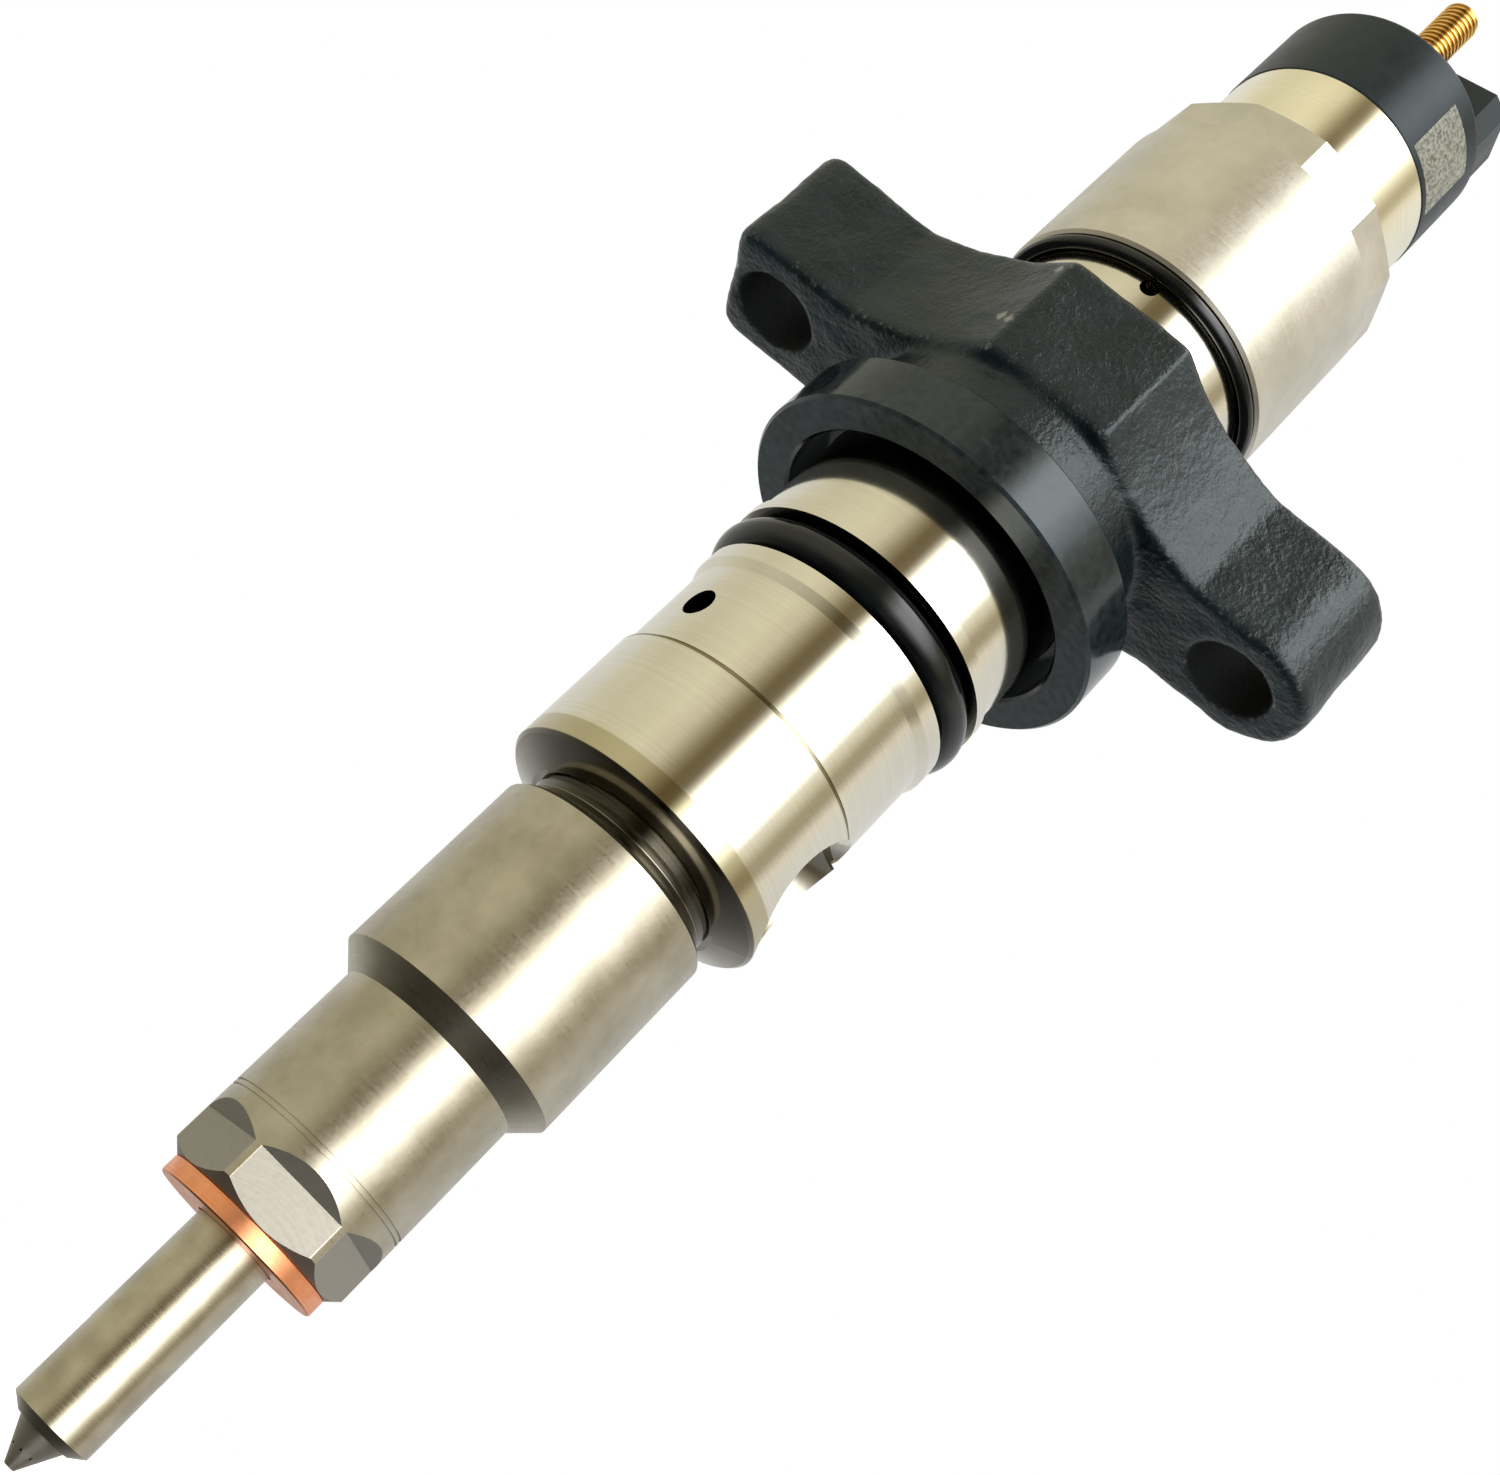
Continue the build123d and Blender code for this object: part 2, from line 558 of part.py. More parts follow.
def return_passage():
    """Return port in the waist and the gallery that brings fuel down to it."""
    out_x, out_y = polar(WAIST_R + CUT, RETURN_ANGLE)
    in_x, in_y = polar(GALLERY_RAD, RETURN_ANGLE)
    port = drill((in_x, in_y, RETURN_Z), (out_x, out_y, RETURN_Z), RETURN_R)
    return port + rod(GALLERY_R, RETURN_Z, VALVE_FLANGE_Z + CUT, in_x, in_y)


def leak_hole():
    out_x, out_y = polar(NECK_R + CUT, LEAK_ANGLE)
    in_x, in_y = polar(ARM_CHAMBER_R - CUT, LEAK_ANGLE)
    return drill((in_x, in_y, LEAK_Z), (out_x, out_y, LEAK_Z), LEAK_R)


def injector_body():
    body = body_outline() - body_bore()
    body -= rod(FEED_R, NOZZLE_TOP - CUT, POCKET_Z + CUT, FEED_X, 0)
    body -= inlet_seat()
    body -= return_passage()
    body -= leak_hole()
    for hole in dowels(SLIP):
        body -= hole
    return body


def body_o_ring():
    half = O_RING_SECTION / 2
    return torus(GROOVE_R + half, half, O_RING_Z)


# ---------------- control valve ----------------

def valve_piston():
    """The long control piston, from the spring seat up into the valve piece."""
    low = NOZZLE_TOP + JOURNAL_H + 2 * SEAT_T
    head = PISTON_TOP - PISTON_HEAD_H
    guide = PISTON_HEAD_R - RUN
    return turned((0, low + TOUCH), (PISTON_R, low + TOUCH), (PISTON_R, head - PISTON_CONE_H), (guide, head),
                  (guide, PISTON_TOP - BREAK), (PISTON_HEAD_R - BREAK, PISTON_TOP), (0, PISTON_TOP))


def valve_body():
    """The valve piece: piston guide, control chamber, outlet throttle and ball seat."""
    flange_top = VALVE_FLANGE_Z + VALVE_FLANGE_H
    low = VALVE_FLANGE_Z - VALVE_STEM_H
    outline = turned((0, low), (VALVE_STEM_R - BREAK, low), (VALVE_STEM_R, low + BREAK),
                     (VALVE_STEM_R, VALVE_FLANGE_Z), (VALVE_FLANGE_R, VALVE_FLANGE_Z),
                     (VALVE_FLANGE_R, flange_top), (VALVE_BOSS_R, flange_top),
                     (VALVE_BOSS_R - BREAK, VALVE_TOP), (0, VALVE_TOP))
    bore = rod(PISTON_HEAD_R, low - CUT, VALVE_FLANGE_Z)
    outlet = rod(OUTLET_R, VALVE_FLANGE_Z - CUT, VALVE_TOP + CUT)
    ball_seat = Pos(0, 0, BALL_Z) * Sphere(BALL_R + TOUCH)
    return outline - bore - outlet - ball_seat


def valve_seal_ring():
    """Seal ring that keeps high pressure below the valve piece's flange."""
    return tube(POCKET_R - TOUCH, VALVE_STEM_R + TOUCH, VALVE_FLANGE_Z - SEAL_LOW, VALVE_FLANGE_Z - SEAL_HIGH)


def valve_clamp_nut():
    """Screwed ring that presses the valve piece down, with four wrench slots."""
    low = VALVE_FLANGE_Z + VALVE_FLANGE_H
    ring = tube(NUT_RING_R - SLIP, NUT_RING_BORE, low, low + NUT_RING_H)
    for i in range(2):
        slot = Box(2 * NUT_RING_R + CUT, NUT_RING_SLOT_W, NUT_RING_SLOT_D, align=HANGING)
        ring -= Pos(0, 0, low + NUT_RING_H) * Rot(0, 0, 90 * i) * slot
    return ring


def valve_ball():
    return Pos(0, 0, BALL_Z) * Sphere(BALL_R)


def ball_guide():
    """The cup that holds the ball under the armature pin."""
    low = BALL_Z + TOUCH
    cup = turned((0, low), (BALL_GUIDE_LIP_R, low), (BALL_GUIDE_R, low + BALL_GUIDE_LIP_H),
                 (BALL_GUIDE_R, PIN_LOW), (0, PIN_LOW))
    return cup - Pos(0, 0, BALL_Z) * Sphere(BALL_R + TOUCH)


# ---------------- armature ----------------

def armature_guide():
    """Guide plate that holds the armature pin upright, with fuel passages."""
    low = ARM_CHAMBER_Z - ARM_HUB_H
    rim = ARM_CHAMBER_R - SLIP
    outline = turned((0, low), (ARM_HUB_R, low), (ARM_HUB_R, ARM_CHAMBER_Z), (rim, ARM_CHAMBER_Z),
                     (rim, GUIDE_TOP), (0, GUIDE_TOP))
    guide = outline - rod(ARM_PIN_R + RUN, low - CUT, GUIDE_TOP + CUT)
    for i in range(GUIDE_HOLES):
        x, y = polar(GUIDE_HOLE_RAD, 45 + 360 * i / GUIDE_HOLES)
        guide -= rod(GUIDE_HOLE_R, ARM_CHAMBER_Z - CUT, GUIDE_TOP + CUT, x, y)
    return guide


def armature_pin():
    return rod(ARM_PIN_R, PIN_LOW, ARM_PLATE_TOP)


def armature_plate():
    """Disc that the magnet pulls up, slotted to let fuel past."""
    plate = tube(ARM_PLATE_R, ARM_PIN_R, ARM_PLATE_Z, ARM_PLATE_TOP)
    for i in range(ARM_SLOTS):
        slot = Box(ARM_PLATE_R, ARM_SLOT_W, ARM_PLATE_T + 2 * CUT, align=(Align.MIN, Align.CENTER, Align.MIN))
        plate -= Rot(0, 0, 360 * i / ARM_SLOTS) * Pos(ARM_SLOT_IN, 0, ARM_PLATE_Z - CUT) * slot
    return plate


def armature_spring():
    return coil_spring(ARM_SPRING_R, ARM_WIRE_R, GUIDE_TOP + TOUCH, ARM_PLATE_Z - TOUCH, ARM_COILS)


def lift_shim():
    """Ring whose height sets the armature's stroke."""
    return tube(ARM_CHAMBER_R - SLIP, SHIM_RING_IN, GUIDE_TOP, CORE_Z)


# ---------------- solenoid ----------------

def magnet_core():
    """Pot core with the ring slot for the coil and the spring's bore."""
    core = tube(CORE_R, CORE_BORE, CORE_Z, CORE_TOP)
    core -= tube(SLOT_OUT, SLOT_IN, CORE_Z - CUT, CORE_Z + SLOT_DEPTH)
    for x, y in lead_places():
        core -= rod(LEAD_R + SLIP, CORE_Z + SLOT_DEPTH - CUT, CORE_TOP + CUT, x, y)
    return core


def coil_bobbin():
    inner = SLOT_IN + SLIP
    outer = SLOT_OUT - SLIP
    low = CORE_Z + BOBBIN_SINK
    high = CORE_Z + SLOT_DEPTH - SLIP
    barrel = inner + BOBBIN_WALL
    bobbin = turned((inner, low), (outer, low), (outer, low + BOBBIN_WALL), (barrel, low + BOBBIN_WALL),
                    (barrel, high - BOBBIN_WALL), (outer, high - BOBBIN_WALL), (outer, high), (inner, high))
    for x, y in lead_places():
        bobbin -= rod(LEAD_R + SLIP, high - BOBBIN_WALL - CUT, high + CUT, x, y)
    return bobbin


def coil_winding():
    inner = SLOT_IN + SLIP + BOBBIN_WALL
    low = CORE_Z + BOBBIN_SINK + BOBBIN_WALL
    high = CORE_Z + SLOT_DEPTH - SLIP - BOBBIN_WALL
    return tube(SLOT_OUT - 2 * SLIP, inner + TOUCH, low + TOUCH, high - TOUCH)


def stud_places():
    """Places of the two terminal studs."""
    return [polar(STUD_PCD / 2, STUD_ANGLE), polar(STUD_PCD / 2, STUD_ANGLE + 180)]


def lead_places():
    """Places of the two coil leads, in line with the studs and over the winding."""
    return [polar(LEAD_RAD, STUD_ANGLE), polar(LEAD_RAD, STUD_ANGLE + 180)]


def coil_leads():
    """Two upright leads from the winding to the terminal studs."""
    low = CORE_Z + SLOT_DEPTH - SLIP - BOBBIN_WALL
    return [rod(LEAD_R, low, CAP_TOP - STUD_ROOT, x, y) for x, y in lead_places()]


def magnet_sleeve():
    """Bright sleeve round the magnet, held down by its flange under the solenoid nut."""
    flange_top = BODY_TOP + SLEEVE_FLANGE_T
    return turned((SLEEVE_BORE, CORE_Z), (SLEEVE_SKIRT_R, CORE_Z), (SLEEVE_SKIRT_R, BODY_TOP),
                  (SLEEVE_FLANGE_R, BODY_TOP),
                  (SLEEVE_FLANGE_R, flange_top), (SLEEVE_R, flange_top), (SLEEVE_R, SLEEVE_TOP),
                  (SLEEVE_BORE, SLEEVE_TOP))


def solenoid_spring():
    high = CORE_TOP - SPRING_PLUG_T
    return coil_spring(SOL_SPRING_R, SOL_WIRE_R, ARM_PLATE_TOP + TOUCH, high - TOUCH, SOL_COILS)


def spring_plug():
    """Adjusting plug that backs the solenoid spring."""
    return rod(CORE_BORE - SLIP, CORE_TOP - SPRING_PLUG_T, CORE_TOP)


def solenoid_nut():
    """Round nut with a ring of twelve wrench flats at its top."""
    outline = turned((0, SNUT_Z), (SNUT_R - BREAK, SNUT_Z), (SNUT_R, SNUT_Z + BREAK),
                     (SNUT_R, SNUT_TOP - BREAK), (SNUT_R - 2 * BREAK, SNUT_TOP), (0, SNUT_TOP))
    across_flats = 2 * (SNUT_R - SNUT_FLAT_CUT)
    nut = outline - flat_cutter(across_flats, SNUT_FLATS, SNUT_ANGLE + 180 / SNUT_FLATS,
                                SNUT_TOP - SNUT_FLAT_LEN, SNUT_TOP + CUT, SNUT_R + CUT)
    nut -= rod(NECK_R + SLIP, SNUT_Z - CUT, NECK_END + BREAK)
    nut -= rod(BODY_THREAD_R + SLIP, SNUT_Z, BODY_TOP + SLEEVE_FLANGE_T)
    nut -= rod(SLEEVE_R + SLIP, SNUT_Z, SNUT_TOP + CUT)
    return nut


def solenoid_seal_ring():
    """Black ring that closes the joint under the solenoid nut."""
    return torus(NECK_R + SEAL_RING_R, SEAL_RING_R, SNUT_Z - SEAL_RING_R)


# ---------------- terminal cap ----------------

def cap_outline():
    """Cap disc with rounded rims, and the plug that stands in the sleeve."""
    disc = rod(CAP_R, SLEEVE_TOP, CAP_TOP)
    disc = fillet(disc.edges().group_by(Axis.Z)[-1], CAP_ROUND)
    disc = fillet(disc.edges().group_by(Axis.Z)[0], CAP_LOW_ROUND)
    return disc + rod(PLUG_R, PLUG_BOTTOM, SLEEVE_TOP + CUT)


def cap_lug():
    """Upright lug beside the terminals, with its outer corners taken off."""
    lug = Box(LUG_T, LUG_W, LUG_H + CUT, align=STANDING)
    lug = chamfer(lug.edges().filter_by(Axis.Z).group_by(Axis.X)[-1], LUG_CORNER)
    return Rot(0, 0, LUG_ANGLE) * Pos(LUG_RAD, 0, CAP_TOP - CUT) * lug


def terminal_cap():
    cap = cap_outline() + cap_lug()
    groove = CAP_SEAL_SECTION + 2 * TOUCH
    cap -= tube(PLUG_R + CUT, PLUG_R - CAP_SEAL_SECTION, CAP_GROOVE_Z - groove / 2, CAP_GROOVE_Z + groove / 2)
    for stud in terminal_studs():
        cap -= stud
    for lead in coil_leads():
        cap -= lead
    return cap


def cap_seal_ring():
    half = CAP_SEAL_SECTION / 2
    return torus(PLUG_R - half, half, CAP_GROOVE_Z)


def terminal_studs():
    """Two M4 studs moulded into the cap by their round heads."""
    low = CAP_TOP - STUD_ROOT
    top = CAP_TOP + STUD_H
    stud = turned((0, low), (STUD_HEAD_R, low), (STUD_HEAD_R, low + STUD_HEAD_T),
                  (STUD_ROOT_R, low + STUD_HEAD_T), (STUD_ROOT_R, CAP_TOP), (STUD_R, CAP_TOP),
                  (STUD_R, top - STUD_CHAMFER), (STUD_R - STUD_CHAMFER, top), (0, top))
    return [Pos(x, y, 0) * stud for x, y in stud_places()]


# ---------------- hold-down clamp ----------------

def clamp_thrust_ring():
    """Turned ring on the neck: its mouth passes the O-ring, its lip presses on the stop shoulder."""
    high = RING_Z + RING_H
    return turned((RING_MOUTH_R + BREAK, RING_Z), (RING_R - BREAK, RING_Z), (RING_R, RING_Z + BREAK),
                  (RING_R, high - BREAK), (RING_R - BREAK, high), (CLAMP_BORE, high),
                  (CLAMP_BORE, RING_Z + RING_MOUTH_D), (RING_MOUTH_R, RING_Z + RING_MOUTH_D),
                  (RING_MOUTH_R, RING_Z + BREAK))


def slope_arc(side, left):
    """The hollow slope between the hump and one wing, on one side of the clamp."""
    sign = -1 if left else 1
    start = Vector(sign * HUMP_FLAT, side * HUMP_HALF)
    end = Vector(sign * HUMP_END, side * WING_HALF)
    middle = (start + end) / 2 + Vector(-sign * HUMP_SAG_X, -side * HUMP_SAG)
    return ThreePointArc(start, middle, end)


def clamp_plan():
    """The clamp seen from above: one square-ended wing, one round-ended wing, a hump each side."""
    lines = []
    for side in (-1, 1):
        lines += [slope_arc(side, True), slope_arc(side, False)]
        lines += [Line((-HUMP_FLAT, side * HUMP_HALF), (HUMP_FLAT, side * HUMP_HALF))]
        lines += [Line((-WING_LEFT, side * WING_HALF), (-HUMP_END, side * WING_HALF))]
        lines += [Line((HUMP_END, side * WING_HALF), (WING_RIGHT - WING_HALF, side * WING_HALF))]
    lines += [Line((-WING_LEFT, -WING_HALF), (-WING_LEFT, WING_HALF))]
    tip = WING_RIGHT - WING_HALF
    lines += [ThreePointArc((tip, -WING_HALF), (WING_RIGHT, 0), (tip, WING_HALF))]
    return make_face(Wire(lines))


def hold_down_clamp():
    block = Pos(0, 0, CLAMP_Z) * extrude(clamp_plan(), CLAMP_T)
    block = fillet(block.edges().filter_by(Axis.Z).group_by(Axis.X)[0], WING_CORNER)
    rims = block.edges().group_by(Axis.Z)
    block = fillet(rims[0] + rims[-1], CLAMP_ROUND)
    block += rod(CLAMP_BOSS_R, CLAMP_Z - CLAMP_BOSS_H + TOUCH, CLAMP_Z + CUT)
    block -= rod(CLAMP_BORE, CLAMP_Z - CLAMP_BOSS_H - CUT, CLAMP_Z + CLAMP_T + CUT)
    for x in (-BOLT_SPAN / 2, BOLT_SPAN / 2):
        block -= rod(BOLT_HOLE_R, CLAMP_Z - CUT, CLAMP_Z + CLAMP_T + CUT, x, 0)
    return block


NODES = {
    "nozzle_body": nozzle_body,
    "nozzle_needle": nozzle_needle,
    "nozzle_dowels": dowels,
    "spring_seat": spring_seat,
    "nozzle_spring": nozzle_spring,
    "spring_shim": spring_shim,
    "seat_washer": seat_washer,
    "nozzle_nut": nozzle_nut,
    "injector_body": injector_body,
    "body_o_ring": body_o_ring,
    "valve_piston": valve_piston,
    "valve_body": valve_body,
    "valve_seal_ring": valve_seal_ring,
    "valve_clamp_nut": valve_clamp_nut,
    "valve_ball": valve_ball,
    "ball_guide": ball_guide,
    "armature_guide": armature_guide,
    "armature_pin": armature_pin,
    "armature_plate": armature_plate,
    "armature_spring": armature_spring,
    "lift_shim": lift_shim,
    "magnet_core": magnet_core,
    "coil_bobbin": coil_bobbin,
    "coil_winding": coil_winding,
    "coil_leads": coil_leads,
    "magnet_sleeve": magnet_sleeve,
    "solenoid_spring": solenoid_spring,
    "spring_plug": spring_plug,
    "solenoid_nut": solenoid_nut,
    "solenoid_seal_ring": solenoid_seal_ring,
    "terminal_cap": terminal_cap,
    "cap_seal_ring": cap_seal_ring,
    "terminal_studs": terminal_studs,
    "clamp_thrust_ring": clamp_thrust_ring,
    "hold_down_clamp": hold_down_clamp,
}

os.makedirs("parts", exist_ok=True)
for name, build in NODES.items():
    shape = build()
    if isinstance(shape, list):
        shape = Compound(children=shape)
    export_step(shape, f"parts/{name}.step")
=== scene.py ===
import math

import bmesh
import bpy
from mathutils import Matrix, Vector, noise


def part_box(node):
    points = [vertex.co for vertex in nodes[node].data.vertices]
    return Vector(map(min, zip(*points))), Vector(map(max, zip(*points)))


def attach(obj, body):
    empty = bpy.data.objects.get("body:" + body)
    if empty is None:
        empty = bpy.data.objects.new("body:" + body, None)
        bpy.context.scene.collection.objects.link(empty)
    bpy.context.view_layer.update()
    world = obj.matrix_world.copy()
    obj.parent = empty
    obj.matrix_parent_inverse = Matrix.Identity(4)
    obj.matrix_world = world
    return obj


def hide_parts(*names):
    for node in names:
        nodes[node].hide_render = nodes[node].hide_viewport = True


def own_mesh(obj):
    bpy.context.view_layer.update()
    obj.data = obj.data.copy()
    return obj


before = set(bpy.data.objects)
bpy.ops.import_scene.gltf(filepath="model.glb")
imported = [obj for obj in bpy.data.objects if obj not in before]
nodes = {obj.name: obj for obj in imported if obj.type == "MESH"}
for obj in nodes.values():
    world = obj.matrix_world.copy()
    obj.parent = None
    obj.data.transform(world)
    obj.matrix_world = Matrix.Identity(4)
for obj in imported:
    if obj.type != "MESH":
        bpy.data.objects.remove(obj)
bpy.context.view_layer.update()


# ---- Camera, floor and light ----
# A product table: pale floor under the spray tip, a light tent whose walls are warm card on one
# side and white cloth on the other, and one bright softbox beside the camera. The camera looks
# up along the injector from below its tip and is rolled, so the injector lies corner to corner.
CAMERA_AZIMUTH = math.radians(-79.0)
CAMERA_RISE = math.radians(23.58)
CAMERA_ROLL = math.radians(44.7)
CAMERA_REACH = 0.1502
CAMERA_OFFSET = 0.000215
CAMERA_Z = -0.00878
LENS = 47.04

towards = Vector((math.cos(CAMERA_AZIMUTH), math.sin(CAMERA_AZIMUTH), 0))
across = Vector((-math.sin(CAMERA_AZIMUTH), math.cos(CAMERA_AZIMUTH), 0))
upright = Vector((0, 0, 1))
back = towards * math.cos(CAMERA_RISE) - upright * math.sin(CAMERA_RISE)
along = towards * math.sin(CAMERA_RISE) + upright * math.cos(CAMERA_RISE)
right = along * math.cos(CAMERA_ROLL) + across * math.sin(CAMERA_ROLL)
up = along * math.sin(CAMERA_ROLL) - across * math.cos(CAMERA_ROLL)

camera = bpy.data.objects.new("camera", bpy.data.cameras.new("camera"))
camera.data.lens = LENS
camera.data.clip_start = 0.005
camera.data.clip_end = 20
turn = Matrix((right, up, back)).transposed().to_4x4()
camera.matrix_world = Matrix.Translation(
    towards * CAMERA_REACH + across * CAMERA_OFFSET + upright * CAMERA_Z) @ turn
bpy.context.scene.collection.objects.link(camera)
bpy.context.scene.camera = camera


def linear(colour):
    """A colour written as sRGB hex, as the linear colour that a shader takes."""
    parts = [int(colour[i:i + 2], 16) / 255 for i in (1, 3, 5)]
    return [c / 12.92 if c <= 0.04045 else ((c + 0.055) / 1.055) ** 2.4 for c in parts] + [1.0]


def add(tree, kind, inputs=None, stops=None, **settings):
    """One node: its settings, its ramp's stops, and its inputs as values or as links."""
    node = tree.nodes.new(kind)
    for name, value in settings.items():
        setattr(node, name, value)
    if stops:
        ramp = node.color_ramp
        while len(ramp.elements) < len(stops):
            ramp.elements.new(1.0)
        for element, (place, colour) in zip(ramp.elements, stops):
            element.position = place
            element.color = linear(colour) if isinstance(colour, str) else [colour] * 3 + [1.0]
    for name, value in (inputs or {}).items():
        if isinstance(value, bpy.types.NodeSocket):
            tree.links.new(value, node.inputs[name])
        else:
            node.inputs[name].default_value = value
    return node


# What stands round the table, by degrees from the camera's own side, at a level a little above it.
TENT = (
    (-180, "#e8e8e4"), (-128, "#e4e3dd"), (-112, "#dedac6"), (-90, "#d9d4ba"), (-50, "#ece6cc"),
    (-34, "#ddd6bc"), (-22, "#a09678"), (-14, "#756748"), (-5, "#7a6d50"), (4, "#f4f1e6"),
    (12, "#ffffff"), (48, "#ffffff"), (58, "#f8f3de"), (70, "#b5aa8e"), (78, "#b3a890"),
    (88, "#f0eadb"), (100, "#eae9e5"), (140, "#e4e5e6"), (180, "#e8e8e4"),
)
SOFTBOX_FROM = 4
SOFTBOX_TO = 48
SOFTBOX_FADE_IN = 6
SOFTBOX_FADE_OUT = 8
SOFTBOX_GAIN = 4.0
SOFTBOX_RIM = 0.3
CORE_FROM = 12
CORE_TO = 30
world = bpy.data.worlds.new("light_tent")
world.use_nodes = True
bpy.context.scene.world = world
tree = world.node_tree
tree.nodes.clear()
way = add(tree, "ShaderNodeTexCoord").outputs["Generated"]
turned_way = add(tree, "ShaderNodeMapping", {"Vector": way, "Rotation": (0, 0, -CAMERA_AZIMUTH)})
parts = add(tree, "ShaderNodeSeparateXYZ", {"Vector": turned_way.outputs["Vector"]})
bearing = add(tree, "ShaderNodeMath", {0: parts.outputs["Y"], 1: parts.outputs["X"]}, operation="ARCTAN2")
place = add(tree, "ShaderNodeMapRange", {
    "Value": bearing.outputs[0], "From Min": -math.pi, "From Max": math.pi})
walls = add(tree, "ShaderNodeValToRGB", {"Fac": place.outputs["Result"]},
            stops=[(0.5 + degrees / 360, colour) for degrees, colour in TENT])
box = add(tree, "ShaderNodeValToRGB", {"Fac": place.outputs["Result"]}, stops=[
    (0.5 + (SOFTBOX_FROM - SOFTBOX_FADE_IN) / 360, 0.0), (0.5 + SOFTBOX_FROM / 360, SOFTBOX_RIM),
    (0.5 + CORE_FROM / 360, 1.0), (0.5 + CORE_TO / 360, 1.0),
    (0.5 + SOFTBOX_TO / 360, SOFTBOX_RIM), (0.5 + (SOFTBOX_TO + SOFTBOX_FADE_OUT) / 360, 0.0)])
height = add(tree, "ShaderNodeMapRange", {
    "Value": parts.outputs["Z"], "From Min": -1.0, "From Max": 1.0})
rise = add(tree, "ShaderNodeValToRGB", {"Fac": height.outputs["Result"]}, stops=[
    (0.0, 0.05), (0.08, 0.06), (0.22, 0.35), (0.36, 0.8), (0.5, 0.95), (0.85, 1.0), (1.0, 1.0)])
boxed = add(tree, "ShaderNodeMath", {
    0: box.outputs["Color"], 1: SOFTBOX_GAIN, 2: 1.0}, operation="MULTIPLY_ADD")
strength = add(tree, "ShaderNodeMath", {0: rise.outputs["Color"], 1: boxed.outputs[0]}, operation="MULTIPLY")
tent = add(tree, "ShaderNodeBackground", {"Color": walls.outputs["Color"], "Strength": strength.outputs[0]})
sweep = add(tree, "ShaderNodeBackground", {"Color": (1, 1, 1, 1), "Strength": 1.0})
ray = add(tree, "ShaderNodeLightPath")
sky = add(tree, "ShaderNodeMixShader", {
    0: ray.outputs["Is Camera Ray"], 1: tent.outputs[0], 2: sweep.outputs[0]})
add(tree, "ShaderNodeOutputWorld", {"Surface": sky.outputs[0]})
bpy.context.scene.view_settings.view_transform = "Standard"

FLOOR_HALF = 1.2
FLOOR_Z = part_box("nozzle_body")[0].z
floor = bpy.data.objects.new("floor", bpy.data.meshes.new("floor"))
bm = bmesh.new()
bmesh.ops.create_grid(bm, x_segments=1, y_segments=1, size=FLOOR_HALF)
bmesh.ops.translate(bm, verts=bm.verts, vec=(0, 0, FLOOR_Z))
bm.to_mesh(floor.data)
bm.free()
bpy.context.scene.collection.objects.link(floor)
paper = bpy.data.materials.new("matt_white_paper")
paper.use_nodes = True
paper.node_tree.nodes["Principled BSDF"].inputs["Base Color"].default_value = linear("#f4f4f2")
paper.node_tree.nodes["Principled BSDF"].inputs["Roughness"].default_value = 0.9
paper.node_tree.nodes["Principled BSDF"].inputs["Emission Color"].default_value = (1, 1, 1, 1)
paper.node_tree.nodes["Principled BSDF"].inputs["Emission Strength"].default_value = 0.6
floor.data.materials.append(paper)
floor.visible_glossy = False


# ---- Nozzle and its needle ----
# Nitrided tool steel, ground on its shank between centres, so its marks are rings round the axis.
# The hot end below the chamfer is left darker by heat treatment, and the needle, dowels and seats
# inside are lapped bright. Rings are drawn about four times coarser than real feed marks.
FEED_MARK = 0.00022
SMEAR = 0.006
TIP_DARK_FROM = -0.0168
TIP_DARK_TO = -0.0178
TIP_WANDER = 0.0006
NOZZLE_LIGHT = "#c4bda9"
NOZZLE_DARK = "#aca491"
TIP_COLOUR = "#b3aea4"


def material(name, **values):
    """A material and its shader, with the values that are the same all over it."""
    made = bpy.data.materials.new(name)
    made.use_nodes = True
    shader = made.node_tree.nodes["Principled BSDF"]
    for key, value in values.items():
        shader.inputs[key.replace("_", " ").title().replace("Ior", "IOR")].default_value = value
    return made, made.node_tree, shader


def lathe_rings(tree, mark=FEED_MARK, centre=(0, 0, 0)):
    """Height plus radius about the turning axis, as rings of tool marks."""
    spot = add(tree, "ShaderNodeTexCoord").outputs["Object"]
    moved = add(tree, "ShaderNodeMapping", {"Vector": spot, "Location": [-c for c in centre]})
    part = add(tree, "ShaderNodeSeparateXYZ", {"Vector": moved.outputs[0]})
    flat = add(tree, "ShaderNodeCombineXYZ", {"X": part.outputs["X"], "Y": part.outputs["Y"]})
    radius = add(tree, "ShaderNodeVectorMath", {0: flat.outputs[0]}, operation="LENGTH")
    reach = add(tree, "ShaderNodeMath", {0: part.outputs["Z"], 1: radius.outputs["Value"]}, operation="ADD")
    rings = add(tree, "ShaderNodeTexNoise", {
        "W": reach.outputs[0], "Scale": 1 / mark, "Detail": 4.0, "Roughness": 0.65}, noise_dimensions="1D")
    return moved.outputs[0], rings.outputs["Fac"]


def dress(name, finish):
    """Gives a CAD node its finish."""
    nodes[name].data.materials.clear()
    nodes[name].data.materials.append(finish)


